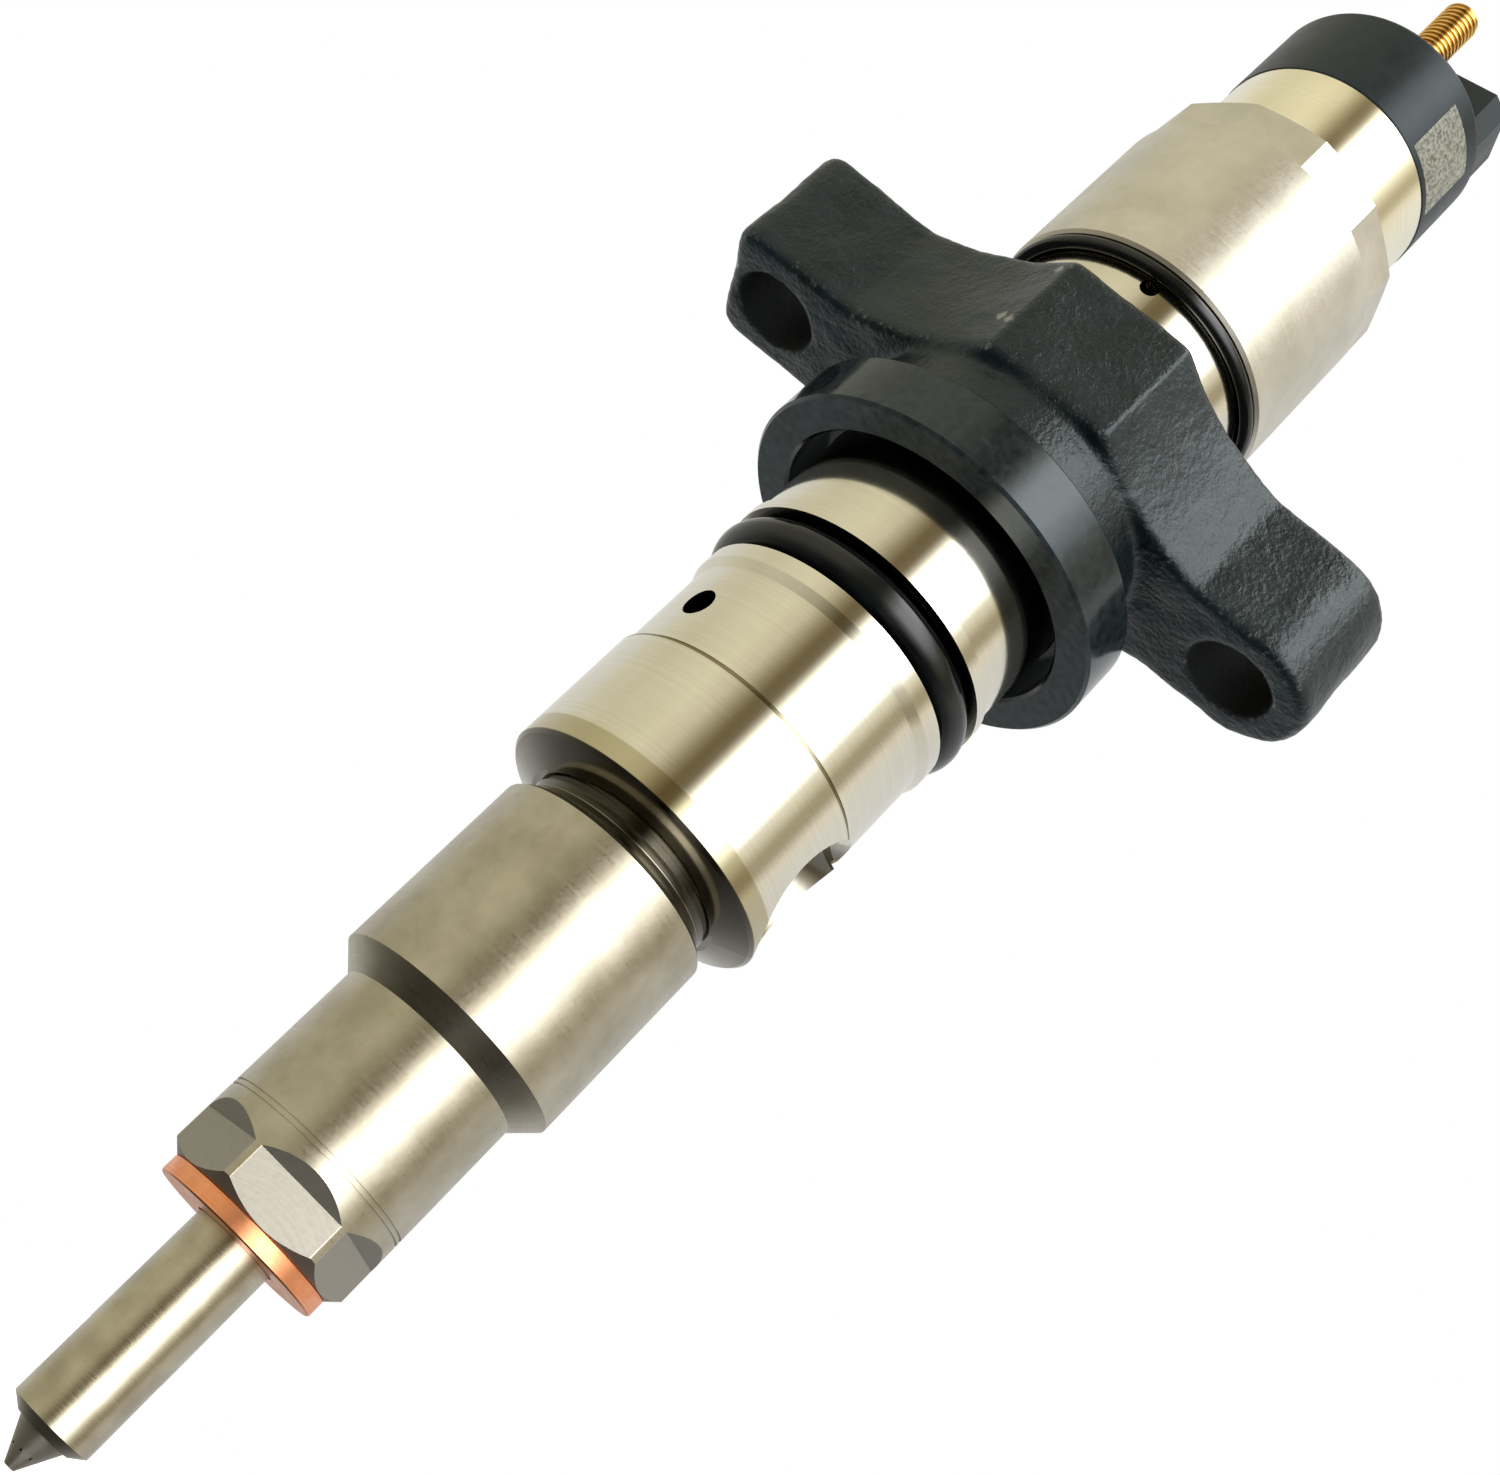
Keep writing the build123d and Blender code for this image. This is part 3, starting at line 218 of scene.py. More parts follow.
# Ground nitrided steel: soft khaki-grey with a clean sheen, fading to dull gunmetal at the tip.
nozzle_steel, tree, shader = material("ground_nitrided_steel", metallic=1.0)
spot, rings = lathe_rings(tree, 0.00016)
cloud = add(tree, "ShaderNodeTexNoise", {"Vector": spot, "Scale": 1 / 0.003, "Detail": 6.0})
tone = add(tree, "ShaderNodeValToRGB", {"Fac": cloud.outputs["Fac"]}, stops=[
    (0.35, NOZZLE_DARK), (0.65, NOZZLE_LIGHT)])
part = add(tree, "ShaderNodeSeparateXYZ", {"Vector": spot})
wander = add(tree, "ShaderNodeMath", {
    0: cloud.outputs["Fac"], 1: TIP_WANDER, 2: part.outputs["Z"]}, operation="MULTIPLY_ADD")
burnt = add(tree, "ShaderNodeMapRange", {
    "Value": wander.outputs[0], "From Min": TIP_DARK_FROM + TIP_WANDER / 2,
    "From Max": TIP_DARK_TO + TIP_WANDER / 2})
shade = add(tree, "ShaderNodeMix", {
    0: burnt.outputs["Result"], 6: tone.outputs["Color"], 7: linear(TIP_COLOUR)}, data_type="RGBA")
gloss = add(tree, "ShaderNodeMapRange", {
    "Value": rings, "From Min": 0.3, "From Max": 0.7, "To Min": 0.30, "To Max": 0.22})
scaled = add(tree, "ShaderNodeMath", {0: burnt.outputs["Result"], 1: 0.22, 2: gloss.outputs["Result"]},
             operation="MULTIPLY_ADD")
relief = add(tree, "ShaderNodeBump", {"Height": rings, "Strength": 0.35, "Distance": 0.00001})
tree.links.new(shade.outputs[2], shader.inputs["Base Color"])
tree.links.new(scaled.outputs[0], shader.inputs["Roughness"])
tree.links.new(relief.outputs["Normal"], shader.inputs["Normal"])
dress("nozzle_body", nozzle_steel)


def steel(name, light, dark, rough, spread, bump, mark=FEED_MARK, smear=SMEAR, centre=(0, 0, 0)):
    """Machined metal: rings of tool marks, cloudy handling smears, and roughness that follows both."""
    made, tree, shader = material(name, metallic=1.0)
    spot, rings = lathe_rings(tree, mark, centre)
    cloud = add(tree, "ShaderNodeTexNoise", {
        "Vector": spot, "Scale": 1 / smear, "Detail": 5.0, "Roughness": 0.6})
    mixed = add(tree, "ShaderNodeMix", {0: 0.45, 2: cloud.outputs["Fac"], 3: rings}, data_type="FLOAT")
    tone = add(tree, "ShaderNodeValToRGB", {"Fac": mixed.outputs[0]}, stops=[(0.36, dark), (0.62, light)])
    gloss = add(tree, "ShaderNodeMapRange", {
        "Value": mixed.outputs[0], "From Min": 0.3, "From Max": 0.7,
        "To Min": rough + spread, "To Max": rough - spread})
    relief = add(tree, "ShaderNodeBump", {"Height": rings, "Strength": bump, "Distance": 0.00001})
    tree.links.new(tone.outputs["Color"], shader.inputs["Base Color"])
    tree.links.new(gloss.outputs["Result"], shader.inputs["Roughness"])
    tree.links.new(relief.outputs["Normal"], shader.inputs["Normal"])
    return made


# Lapped steel is nearly a mirror, with only a faint haze.
lapped_steel = steel("lapped_tool_steel", "#c9c8c4", "#aeada8", 0.14, 0.05, 0.1, smear=0.002)
for name in ("nozzle_needle", "nozzle_dowels", "spring_seat", "spring_shim", "valve_piston", "valve_body",
             "valve_clamp_nut", "valve_ball", "ball_guide", "armature_guide", "armature_pin", "lift_shim",
             "spring_plug"):
    dress(name, lapped_steel)


# ---- Springs ----
# Three springs of hard drawn wire, phosphated to a dull grey: the die leaves fine lines and the
# coating a cloudy bloom.
WELD = 0.000002
NEEDLE_STROKE = 0.0003
ARMATURE_STROKE = 0.00006


def merged_copy(node):
    """The mesh of a CAD node as a new bmesh, closed where its faces meet."""
    bm = bmesh.new()
    bm.from_mesh(nodes[node].data)
    bmesh.ops.remove_doubles(bm, verts=bm.verts, dist=WELD)
    bmesh.ops.recalc_face_normals(bm, faces=bm.faces)
    return bm


def add_piece(name, bm, finish, body):
    """A new piece from its finished mesh, riding on a body."""
    mesh = bpy.data.meshes.new(name)
    bm.to_mesh(mesh)
    bm.free()
    mesh.materials.append(finish)
    piece = bpy.data.objects.new(name, mesh)
    bpy.context.scene.collection.objects.link(piece)
    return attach(piece, body)


# Phosphated wire: dull mid grey, with no clear reflections.
spring_wire = steel("phosphated_spring_wire", "#7c7b78", "#55544f", 0.42, 0.1, 0.4,
                    mark=0.00008, smear=0.0012)
dress("armature_spring", spring_wire)
for node, joint, stroke in (("nozzle_spring", "needle_lift", NEEDLE_STROKE),
                            ("solenoid_spring", "armature_lift", ARMATURE_STROKE)):
    low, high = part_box(node)
    bm = merged_copy(node)
    for face in bm.faces:
        face.smooth = True
    spring = add_piece("coiled_" + node, bm, spring_wire, "injector")
    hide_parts(node)
    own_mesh(spring)


# ---- Copper seat washer ----
# The ring that seals the nozzle nut in its bore: soft copper, stamped from sheet, annealed, and
# slightly crushed where the nut bears on it.
# Annealed copper: warm pink-orange with a soft silky highlight.
copper = steel("annealed_copper", "#ffb288", "#ee9a69", 0.34, 0.1, 0.5, mark=0.00018, smear=0.0016)
dress("seat_washer", copper)


# ---- Nozzle nut ----
# Case-hardened steel nut, satin and a little brown from its phosphate bath. The six flats are
# milled after turning, so they are cleaner and greyer.
FLAT_TOP = 0.0072
FLAT_RADIUS = 0.00846
NUT_LIGHT = "#c3bdad"
NUT_DARK = "#aca593"
# Satin phosphated steel: a broad soft highlight on warm grey, cloudy from handling.
nut_steel, tree, shader = material("satin_phosphated_steel", metallic=1.0)
spot, rings = lathe_rings(tree, 0.0003)
cloud = add(tree, "ShaderNodeTexNoise", {
    "Vector": spot, "Scale": 1 / 0.005, "Detail": 7.0, "Roughness": 0.62})
grit = add(tree, "ShaderNodeTexNoise", {"Vector": spot, "Scale": 1 / 0.00035, "Detail": 3.0})
tone = add(tree, "ShaderNodeValToRGB", {"Fac": cloud.outputs["Fac"]},
           stops=[(0.36, NUT_DARK), (0.66, NUT_LIGHT)])
part = add(tree, "ShaderNodeSeparateXYZ", {"Vector": spot})
flat = add(tree, "ShaderNodeCombineXYZ", {"X": part.outputs["X"], "Y": part.outputs["Y"]})
radius = add(tree, "ShaderNodeVectorMath", {0: flat.outputs[0]}, operation="LENGTH")
low = add(tree, "ShaderNodeMath", {0: part.outputs["Z"], 1: FLAT_TOP}, operation="LESS_THAN")
near = add(tree, "ShaderNodeMath", {0: radius.outputs["Value"], 1: FLAT_RADIUS}, operation="LESS_THAN")
milled = add(tree, "ShaderNodeMath", {0: low.outputs[0], 1: near.outputs[0]}, operation="MULTIPLY")
shade = add(tree, "ShaderNodeMix", {
    0: milled.outputs[0], 6: tone.outputs["Color"], 7: linear("#a5a197")}, data_type="RGBA")
fine = add(tree, "ShaderNodeMath", {0: grit.outputs["Fac"], 1: rings}, operation="ADD")
gloss = add(tree, "ShaderNodeMapRange", {
    "Value": fine.outputs[0], "From Min": 0.7, "From Max": 1.3, "To Min": 0.36, "To Max": 0.27})
cut = add(tree, "ShaderNodeMath", {0: milled.outputs[0], 1: 0.2, 2: gloss.outputs["Result"]},
          operation="MULTIPLY_ADD")
relief = add(tree, "ShaderNodeBump", {"Height": fine.outputs[0], "Strength": 0.35, "Distance": 0.00001})
tree.links.new(shade.outputs[2], shader.inputs["Base Color"])
tree.links.new(cut.outputs[0], shader.inputs["Roughness"])
tree.links.new(relief.outputs["Normal"], shader.inputs["Normal"])
dress("nozzle_nut", nut_steel)


# ---- Injector body ----
# Forged alloy steel, finish-ground to a near mirror with faint feed marks and handling smears. The
# thread run-out and front chamfer are left as turned and painted dark as painted shade, a narrow band behind
# them is painted as a painted reflection, and the fine turned line is painted dark as painted shade in its
# groove. Inside, above the cross-drilled holes, the colour is painted near black as painted shade.
# Top of the painted shade on the run-out and chamfer, and of the painted reflection band above it.
SHADED_RUNOUT_TOP = 0.0424
REFLECTION_BAND_TOP = 0.0442
LINE_LOW = 0.05402
LINE_HIGH = 0.05442
ZONE_EDGE = 0.00008
DRILLED_FROM = 0.0555
DRILLED_R = 0.0121
# Finish-ground steel: bright cream-coloured stripes with crisp edges, like a slightly worn mirror.
body_steel = steel("finish_ground_steel", "#e9e5d8", "#dfdacb", 0.11, 0.03, 0.10, mark=0.0004, smear=0.009)
tree = body_steel.node_tree
shader = tree.nodes["Principled BSDF"]
ground = shader.inputs["Base Color"].links[0].from_socket
spot = add(tree, "ShaderNodeTexCoord").outputs["Object"]
part = add(tree, "ShaderNodeSeparateXYZ", {"Vector": spot})
above_reflection_band = add(tree, "ShaderNodeMapRange", {
    "Value": part.outputs["Z"], "From Min": REFLECTION_BAND_TOP - ZONE_EDGE, "From Max": REFLECTION_BAND_TOP + ZONE_EDGE})
above_shaded_runout = add(tree, "ShaderNodeMapRange", {
    "Value": part.outputs["Z"], "From Min": SHADED_RUNOUT_TOP - ZONE_EDGE, "From Max": SHADED_RUNOUT_TOP + ZONE_EDGE})
# Painted shade over the thread run-out and chamfer, then a narrow painted reflection band above it.
runout_shade_and_band = add(tree, "ShaderNodeMix", {
    0: above_shaded_runout.outputs["Result"], 6: linear("#7d796f"), 7: linear("#c2b99c")}, data_type="RGBA")
zones = add(tree, "ShaderNodeMix", {
    0: above_reflection_band.outputs["Result"], 6: runout_shade_and_band.outputs[2], 7: ground}, data_type="RGBA")
# The fine turned line is painted darker as painted shade in its small groove.
over = add(tree, "ShaderNodeMath", {0: part.outputs["Z"], 1: LINE_LOW}, operation="GREATER_THAN")
under = add(tree, "ShaderNodeMath", {0: part.outputs["Z"], 1: LINE_HIGH}, operation="LESS_THAN")
in_line = add(tree, "ShaderNodeMath", {0: over.outputs[0], 1: under.outputs[0]}, operation="MULTIPLY")
lined = add(tree, "ShaderNodeMix", {
    0: in_line.outputs[0], 6: zones.outputs[2], 7: linear("#8f876e")}, data_type="RGBA")
flat = add(tree, "ShaderNodeCombineXYZ", {"X": part.outputs["X"], "Y": part.outputs["Y"]})
radius = add(tree, "ShaderNodeVectorMath", {0: flat.outputs[0]}, operation="LENGTH")
inside = add(tree, "ShaderNodeMath", {0: radius.outputs["Value"], 1: DRILLED_R}, operation="LESS_THAN")
above = add(tree, "ShaderNodeMath", {0: part.outputs["Z"], 1: DRILLED_FROM}, operation="GREATER_THAN")
drilled = add(tree, "ShaderNodeMath", {0: inside.outputs[0], 1: above.outputs[0]}, operation="MULTIPLY")
# Inside the bore above the cross-drilled holes the colour is painted near black as painted shade.
dark = add(tree, "ShaderNodeMix", {
    0: drilled.outputs[0], 6: lined.outputs[2], 7: linear("#25221e")}, data_type="RGBA")
tree.links.new(dark.outputs[2], shader.inputs["Base Color"])
dress("injector_body", body_steel)


# ---- O-rings and seals ----
# Nitrile rubber, moulded smooth and lightly oiled, so it is glossy with a soft grey bloom. The
# valve's ring is a hard brown bearing polymer.
def moulded(name, light, dark, rough, spread, grain, bump, **values):
    """Moulded rubber or plastic: a fine grain from the mould and patchy gloss."""
    made, tree, shader = material(name, **values)
    spot = add(tree, "ShaderNodeTexCoord").outputs["Object"]
    cloud = add(tree, "ShaderNodeTexNoise", {"Vector": spot, "Scale": 1 / 0.004, "Detail": 5.0})
    fine = add(tree, "ShaderNodeTexNoise", {"Vector": spot, "Scale": 1 / grain, "Detail": 3.0})
    tone = add(tree, "ShaderNodeValToRGB", {"Fac": cloud.outputs["Fac"]}, stops=[(0.35, dark), (0.65, light)])
    gloss = add(tree, "ShaderNodeMapRange", {
        "Value": cloud.outputs["Fac"], "From Min": 0.3, "From Max": 0.7,
        "To Min": rough - spread, "To Max": rough + spread})
    relief = add(tree, "ShaderNodeBump", {
        "Height": fine.outputs["Fac"], "Strength": bump, "Distance": 0.00003})
    tree.links.new(tone.outputs["Color"], shader.inputs["Base Color"])
    tree.links.new(gloss.outputs["Result"], shader.inputs["Roughness"])
    tree.links.new(relief.outputs["Normal"], shader.inputs["Normal"])
    return made


# Oiled nitrile: deep black with one sharp wet highlight. Its 0.3 mm grain is coarser than a real
# mould's, so that it shows.
rubber = moulded("oiled_nitrile_rubber", "#0c0f11", "#050607", 0.13, 0.04, 0.0003, 0.06, ior=1.5)
for name in ("body_o_ring", "solenoid_seal_ring", "cap_seal_ring"):
    dress(name, rubber)
dress("valve_seal_ring", moulded("brown_bearing_polymer", "#7b5a42", "#5f4431", 0.45, 0.08, 0.0002, 0.3))


# ---- Magnet and coil ----
# A pressed iron-powder core, dark and grainy, with a pale nylon bobbin wound in enamelled copper
# wire. The turns of the winding show as fine close ridges.
# Pressed powder: dark, grainy and almost matt.
iron_powder = moulded("pressed_iron_powder", "#4b4b4c", "#333335", 0.6, 0.1, 0.00015, 0.6, metallic=0.7)
dress("magnet_core", iron_powder)
dress("armature_plate", lapped_steel)
dress("coil_bobbin", moulded("natural_nylon", "#e0d9c2", "#cfc7ad", 0.42, 0.08, 0.0004, 0.2))
WIRE_PITCH = 0.00025
# Enamelled wire: close red-brown ridges, each with its own glint, painted lighter on each turn as painted
# highlight and darker between turns as painted shade.
winding, tree, shader = material("enamelled_copper_winding", metallic=1.0)
spot = add(tree, "ShaderNodeTexCoord").outputs["Object"]
turns = add(tree, "ShaderNodeTexWave", {
    "Vector": spot, "Scale": 1 / WIRE_PITCH / 20, "Distortion": 0.4}, bands_direction="Z", wave_profile="SIN")
# The colour follows the turns: painted highlight on each turn, painted shade between them.
tone = add(tree, "ShaderNodeValToRGB", {"Fac": turns.outputs["Fac"]},
           stops=[(0.1, "#5c2c14"), (0.8, "#c4713a")])
relief = add(tree, "ShaderNodeBump", {"Height": turns.outputs["Fac"], "Strength": 0.8, "Distance": 0.00006})
tree.links.new(tone.outputs["Color"], shader.inputs["Base Color"])
tree.links.new(relief.outputs["Normal"], shader.inputs["Normal"])
shader.inputs["Roughness"].default_value = 0.3
dress("coil_winding", winding)
dress("coil_leads", winding)


# ---- Magnet sleeve ----
# Free-cutting steel tube that holds the magnet, turned smooth and plated with zinc, with a pale
# yellow passivation.
# Passivated zinc: bright pale yellow, the lightest metal on the injector.
sleeve_steel = steel("passivated_zinc_plate", "#fdf8e4", "#f4ecd0", 0.17, 0.05, 0.3, mark=0.0005, smear=0.007)
dress("magnet_sleeve", sleeve_steel)


# ---- Solenoid nut ----
# Turned steel nut, plated and tumbled to a soft satin, with light scuffs from handling. The twelve
# wrench flats are milled round its top.
# Tumbled nickel plate: pale neutral grey that spreads the softbox into a wide band.
solenoid_nut_steel, tree, shader = material("tumbled_nickel_plate", metallic=1.0)
spot, rings = lathe_rings(tree, 0.00035)
cloud = add(tree, "ShaderNodeTexNoise", {
    "Vector": spot, "Scale": 1 / 0.006, "Detail": 7.0, "Roughness": 0.65})
grit = add(tree, "ShaderNodeTexNoise", {"Vector": spot, "Scale": 1 / 0.0004, "Detail": 2.0})
tone = add(tree, "ShaderNodeValToRGB", {"Fac": cloud.outputs["Fac"]},
           stops=[(0.34, "#ccc8ba"), (0.68, "#dedacf")])
fine = add(tree, "ShaderNodeMath", {0: grit.outputs["Fac"], 1: rings}, operation="ADD")
gloss = add(tree, "ShaderNodeMapRange", {
    "Value": fine.outputs[0], "From Min": 0.7, "From Max": 1.3, "To Min": 0.44, "To Max": 0.36})
relief = add(tree, "ShaderNodeBump", {"Height": fine.outputs[0], "Strength": 0.14, "Distance": 0.00001})
tree.links.new(tone.outputs["Color"], shader.inputs["Base Color"])
tree.links.new(gloss.outputs["Result"], shader.inputs["Roughness"])
tree.links.new(relief.outputs["Normal"], shader.inputs["Normal"])
dress("solenoid_nut", solenoid_nut_steel)


# ---- Terminal cap ----
# Glass-filled black nylon, injection moulded round the two studs. Its plug stands in the magnet
# sleeve with a seal ring round it. A blank square on its side is frosted pale by a laser.
PATCH_ANGLE = 41.5
PATCH_HALF_ANGLE = 18.5
PATCH_Z = 0.1494
PATCH_HALF = 0.0039
# Glass-filled nylon: blue-black satin, duller than the rubber and the oiled steel, with a faint
# pebbled grain. Its grain is drawn about four times coarser than the mould's real spark texture.
cap_plastic, tree, shader = material("glass_filled_black_nylon", ior=1.45, specular_tint=linear("#c4d6de"))
spot = add(tree, "ShaderNodeTexCoord").outputs["Object"]
cloud = add(tree, "ShaderNodeTexNoise", {
    "Vector": spot, "Scale": 1 / 0.003, "Detail": 7.0, "Roughness": 0.65})
grain = add(tree, "ShaderNodeTexNoise", {"Vector": spot, "Scale": 1 / 0.00035, "Detail": 3.0})
tone = add(tree, "ShaderNodeValToRGB", {"Fac": cloud.outputs["Fac"]},
           stops=[(0.35, "#0c1113"), (0.66, "#181e21")])
gloss = add(tree, "ShaderNodeMapRange", {
    "Value": cloud.outputs["Fac"], "From Min": 0.3, "From Max": 0.7, "To Min": 0.34, "To Max": 0.46})
relief = add(tree, "ShaderNodeBump", {"Height": grain.outputs["Fac"], "Strength": 0.25, "Distance": 0.00003})
sideways = add(tree, "ShaderNodeMapping", {
    "Vector": spot, "Rotation": (0, 0, -CAMERA_AZIMUTH - math.radians(PATCH_ANGLE))})
part = add(tree, "ShaderNodeSeparateXYZ", {"Vector": sideways.outputs[0]})
bearing = add(tree, "ShaderNodeMath", {0: part.outputs["Y"], 1: part.outputs["X"]}, operation="ARCTAN2")
aside = add(tree, "ShaderNodeMath", {0: bearing.outputs[0]}, operation="ABSOLUTE")
in_turn = add(tree, "ShaderNodeMath", {
    0: aside.outputs[0], 1: math.radians(PATCH_HALF_ANGLE)}, operation="LESS_THAN")
rise = add(tree, "ShaderNodeMath", {0: part.outputs["Z"], 1: PATCH_Z}, operation="SUBTRACT")
level = add(tree, "ShaderNodeMath", {0: rise.outputs[0]}, operation="ABSOLUTE")
in_height = add(tree, "ShaderNodeMath", {0: level.outputs[0], 1: PATCH_HALF}, operation="LESS_THAN")
in_patch = add(tree, "ShaderNodeMath", {0: in_turn.outputs[0], 1: in_height.outputs[0]}, operation="MULTIPLY")
fleck = add(tree, "ShaderNodeMapRange", {
    "Value": grain.outputs["Fac"], "From Min": 0.35, "From Max": 0.6, "To Min": 0.25, "To Max": 0.9})
frosted = add(tree, "ShaderNodeMath", {
    0: in_patch.outputs[0], 1: fleck.outputs["Result"]}, operation="MULTIPLY")
shade = add(tree, "ShaderNodeMix", {
    0: frosted.outputs[0], 6: tone.outputs["Color"], 7: linear("#8d8c80")}, data_type="RGBA")
tree.links.new(shade.outputs[2], shader.inputs["Base Color"])
tree.links.new(gloss.outputs["Result"], shader.inputs["Roughness"])
tree.links.new(relief.outputs["Normal"], shader.inputs["Normal"])
dress("terminal_cap", cap_plastic)


# ---- Terminal studs ----
# Two M4 studs of copper alloy with a thin gold-coloured plate. The threads are rolled, so their
# crests are rounded; the crests are painted bright as painted highlight and the roots darker as painted
# shade.
STUD_PITCH = 0.0007
STUD_R = 0.002
STUD_TURN_STEPS = 40
STUD_LEAD_IN = 0.0008
STUD_ROOT_R = 0.00158
STUD_AZIMUTH = math.radians(-85.3)
STUD_RAD = 0.007
STUD_BASE = 0.156
stud_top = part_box("terminal_studs")[1].z


def threaded_stud(bm, x, y):
    """One stud: a rolled thread spun up as a screw, cut level at both ends and closed."""
    made = bmesh.new()
    turns = math.ceil((stud_top - STUD_BASE) / STUD_PITCH) + 2
    profile = ((STUD_ROOT_R, 0.0), (STUD_R - 0.00012, 0.3), (STUD_R, 0.42), (STUD_R, 0.58),
               (STUD_R - 0.00012, 0.70), (STUD_ROOT_R, 1.0))
    start = STUD_BASE - 1.5 * STUD_PITCH
    line = [made.verts.new((r, 0, start + share * STUD_PITCH)) for r, share in profile]
    edges = [made.edges.new(pair) for pair in zip(line, line[1:])]
    bmesh.ops.spin(made, geom=line + edges, cent=(0, 0, 0), axis=(0, 0, 1), angle=2 * math.pi * turns,
                   steps=STUD_TURN_STEPS * turns, dvec=(0, 0, STUD_PITCH / STUD_TURN_STEPS), use_merge=False)
    bmesh.ops.remove_doubles(made, verts=made.verts, dist=WELD)
    for level, side in ((STUD_BASE - 0.0003, 1), (stud_top, -1)):
        bmesh.ops.bisect_plane(made, geom=made.verts[:] + made.edges[:] + made.faces[:],
                               plane_co=(0, 0, level), plane_no=(0, 0, -side), clear_outer=True)
        rim = [e for e in made.edges if e.is_boundary and all(abs(v.co.z - level) < 1e-7 for v in e.verts)]
        bmesh.ops.holes_fill(made, edges=rim, sides=0)
    for vert in made.verts:
        reach = math.hypot(vert.co.x, vert.co.y)
        room = STUD_R - max(0.0, STUD_LEAD_IN - (stud_top - vert.co.z))
        if reach > room:
            vert.co.x *= room / reach
            vert.co.y *= room / reach
    bmesh.ops.triangulate(made, faces=[f for f in made.faces if len(f.verts) > 4])
    bmesh.ops.recalc_face_normals(made, faces=made.faces)
    bmesh.ops.translate(made, verts=made.verts, vec=(x, y, 0))
    for face in made.faces:
        face.smooth = True
    scratch = bpy.data.meshes.new("one_stud")
    made.to_mesh(scratch)
    made.free()
    bm.from_mesh(scratch)
    bpy.data.meshes.remove(scratch)


# Gold plate over copper alloy: orange-gold, painted lighter on the crests as painted highlight and brown in
# the roots as painted shade.
stud_plate, tree, shader = material("gold_plated_copper_alloy", metallic=1.0)
spot = add(tree, "ShaderNodeTexCoord").outputs["Object"]
cloud = add(tree, "ShaderNodeTexNoise", {"Vector": spot, "Scale": 1 / 0.0009, "Detail": 5.0})
edge = add(tree, "ShaderNodeNewGeometry")
# Sharp crests painted lighter as painted highlight, thread roots darker as painted shade.
edge_mask = add(tree, "ShaderNodeMapRange", {
    "Value": edge.outputs["Pointiness"], "From Min": 0.42, "From Max": 0.58})
both = add(tree, "ShaderNodeMix", {
    0: 0.35, 2: edge_mask.outputs["Result"], 3: cloud.outputs["Fac"]}, data_type="FLOAT")
tone = add(tree, "ShaderNodeValToRGB", {"Fac": both.outputs[0]}, stops=[
    (0.25, "#a85a1c"), (0.5, "#e09a3c"), (0.8, "#ffd684")])
gloss = add(tree, "ShaderNodeMapRange", {"Value": cloud.outputs["Fac"], "To Min": 0.18, "To Max": 0.36})
tree.links.new(tone.outputs["Color"], shader.inputs["Base Color"])
tree.links.new(gloss.outputs["Result"], shader.inputs["Roughness"])
bm = bmesh.new()
for half_turn in (0, math.pi):
    bearing = STUD_AZIMUTH + half_turn
    threaded_stud(bm, STUD_RAD * math.cos(bearing), STUD_RAD * math.sin(bearing))
studs = add_piece("threaded_terminal_studs", bm, stud_plate, "injector")
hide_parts("terminal_studs")


# ---- Thrust ring ----
# Turned steel ring, hot blackened and oiled. It is smooth enough to mirror the softbox as a broken
# grey band, with turning marks round it and the black rubbed thin at its edges.
def blackened(name, light, dark, rough, spread, marks, grit, bump, worn_colour):
    """Blackened steel: near-black oxide with an oily sheen, rubbed through along sharp edges."""
    made, tree, shader = material(name, ior=1.58, specular_tint=linear("#dde8ea"))
    spot, rings = lathe_rings(tree, marks)
    cloud = add(tree, "ShaderNodeTexNoise", {
        "Vector": spot, "Scale": 1 / 0.005, "Detail": 8.0, "Roughness": 0.65})
    fine = add(tree, "ShaderNodeTexNoise", {
        "Vector": spot, "Scale": 1 / grit, "Detail": 4.0, "Roughness": 0.6})
    tone = add(tree, "ShaderNodeValToRGB", {"Fac": cloud.outputs["Fac"]}, stops=[(0.34, dark), (0.66, light)])
    edge = add(tree, "ShaderNodeNewGeometry")
    edge_score = add(tree, "ShaderNodeMath", {0: fine.outputs["Fac"], 1: 0.12, 2: edge.outputs["Pointiness"]},
              operation="MULTIPLY_ADD")
    edge_mask = add(tree, "ShaderNodeMapRange", {"Value": edge_score.outputs[0], "From Min": 0.60, "From Max": 0.70})
    shade = add(tree, "ShaderNodeMix", {
        0: edge_mask.outputs["Result"], 6: tone.outputs["Color"], 7: linear(worn_colour)}, data_type="RGBA")
    gloss = add(tree, "ShaderNodeMapRange", {
        "Value": fine.outputs["Fac"], "From Min": 0.3, "From Max": 0.7,
        "To Min": rough - spread, "To Max": rough + spread})
    height = add(tree, "ShaderNodeMix", {0: 0.5, 2: fine.outputs["Fac"], 3: rings}, data_type="FLOAT")
    relief = add(tree, "ShaderNodeBump", {"Height": height.outputs[0], "Strength": bump, "Distance": 0.00004})
    tree.links.new(shade.outputs[2], shader.inputs["Base Color"])
    tree.links.new(gloss.outputs["Result"], shader.inputs["Roughness"])
    tree.links.new(relief.outputs["Normal"], shader.inputs["Normal"])
    return made


# Oiled black oxide: near black, mirroring the softbox as a grey band.
ring_black = blackened("oiled_black_oxide", "#081015", "#04080a", 0.14, 0.04,
                       0.0005, 0.0009, 0.10, "#2c3234")
dress("clamp_thrust_ring", ring_black)


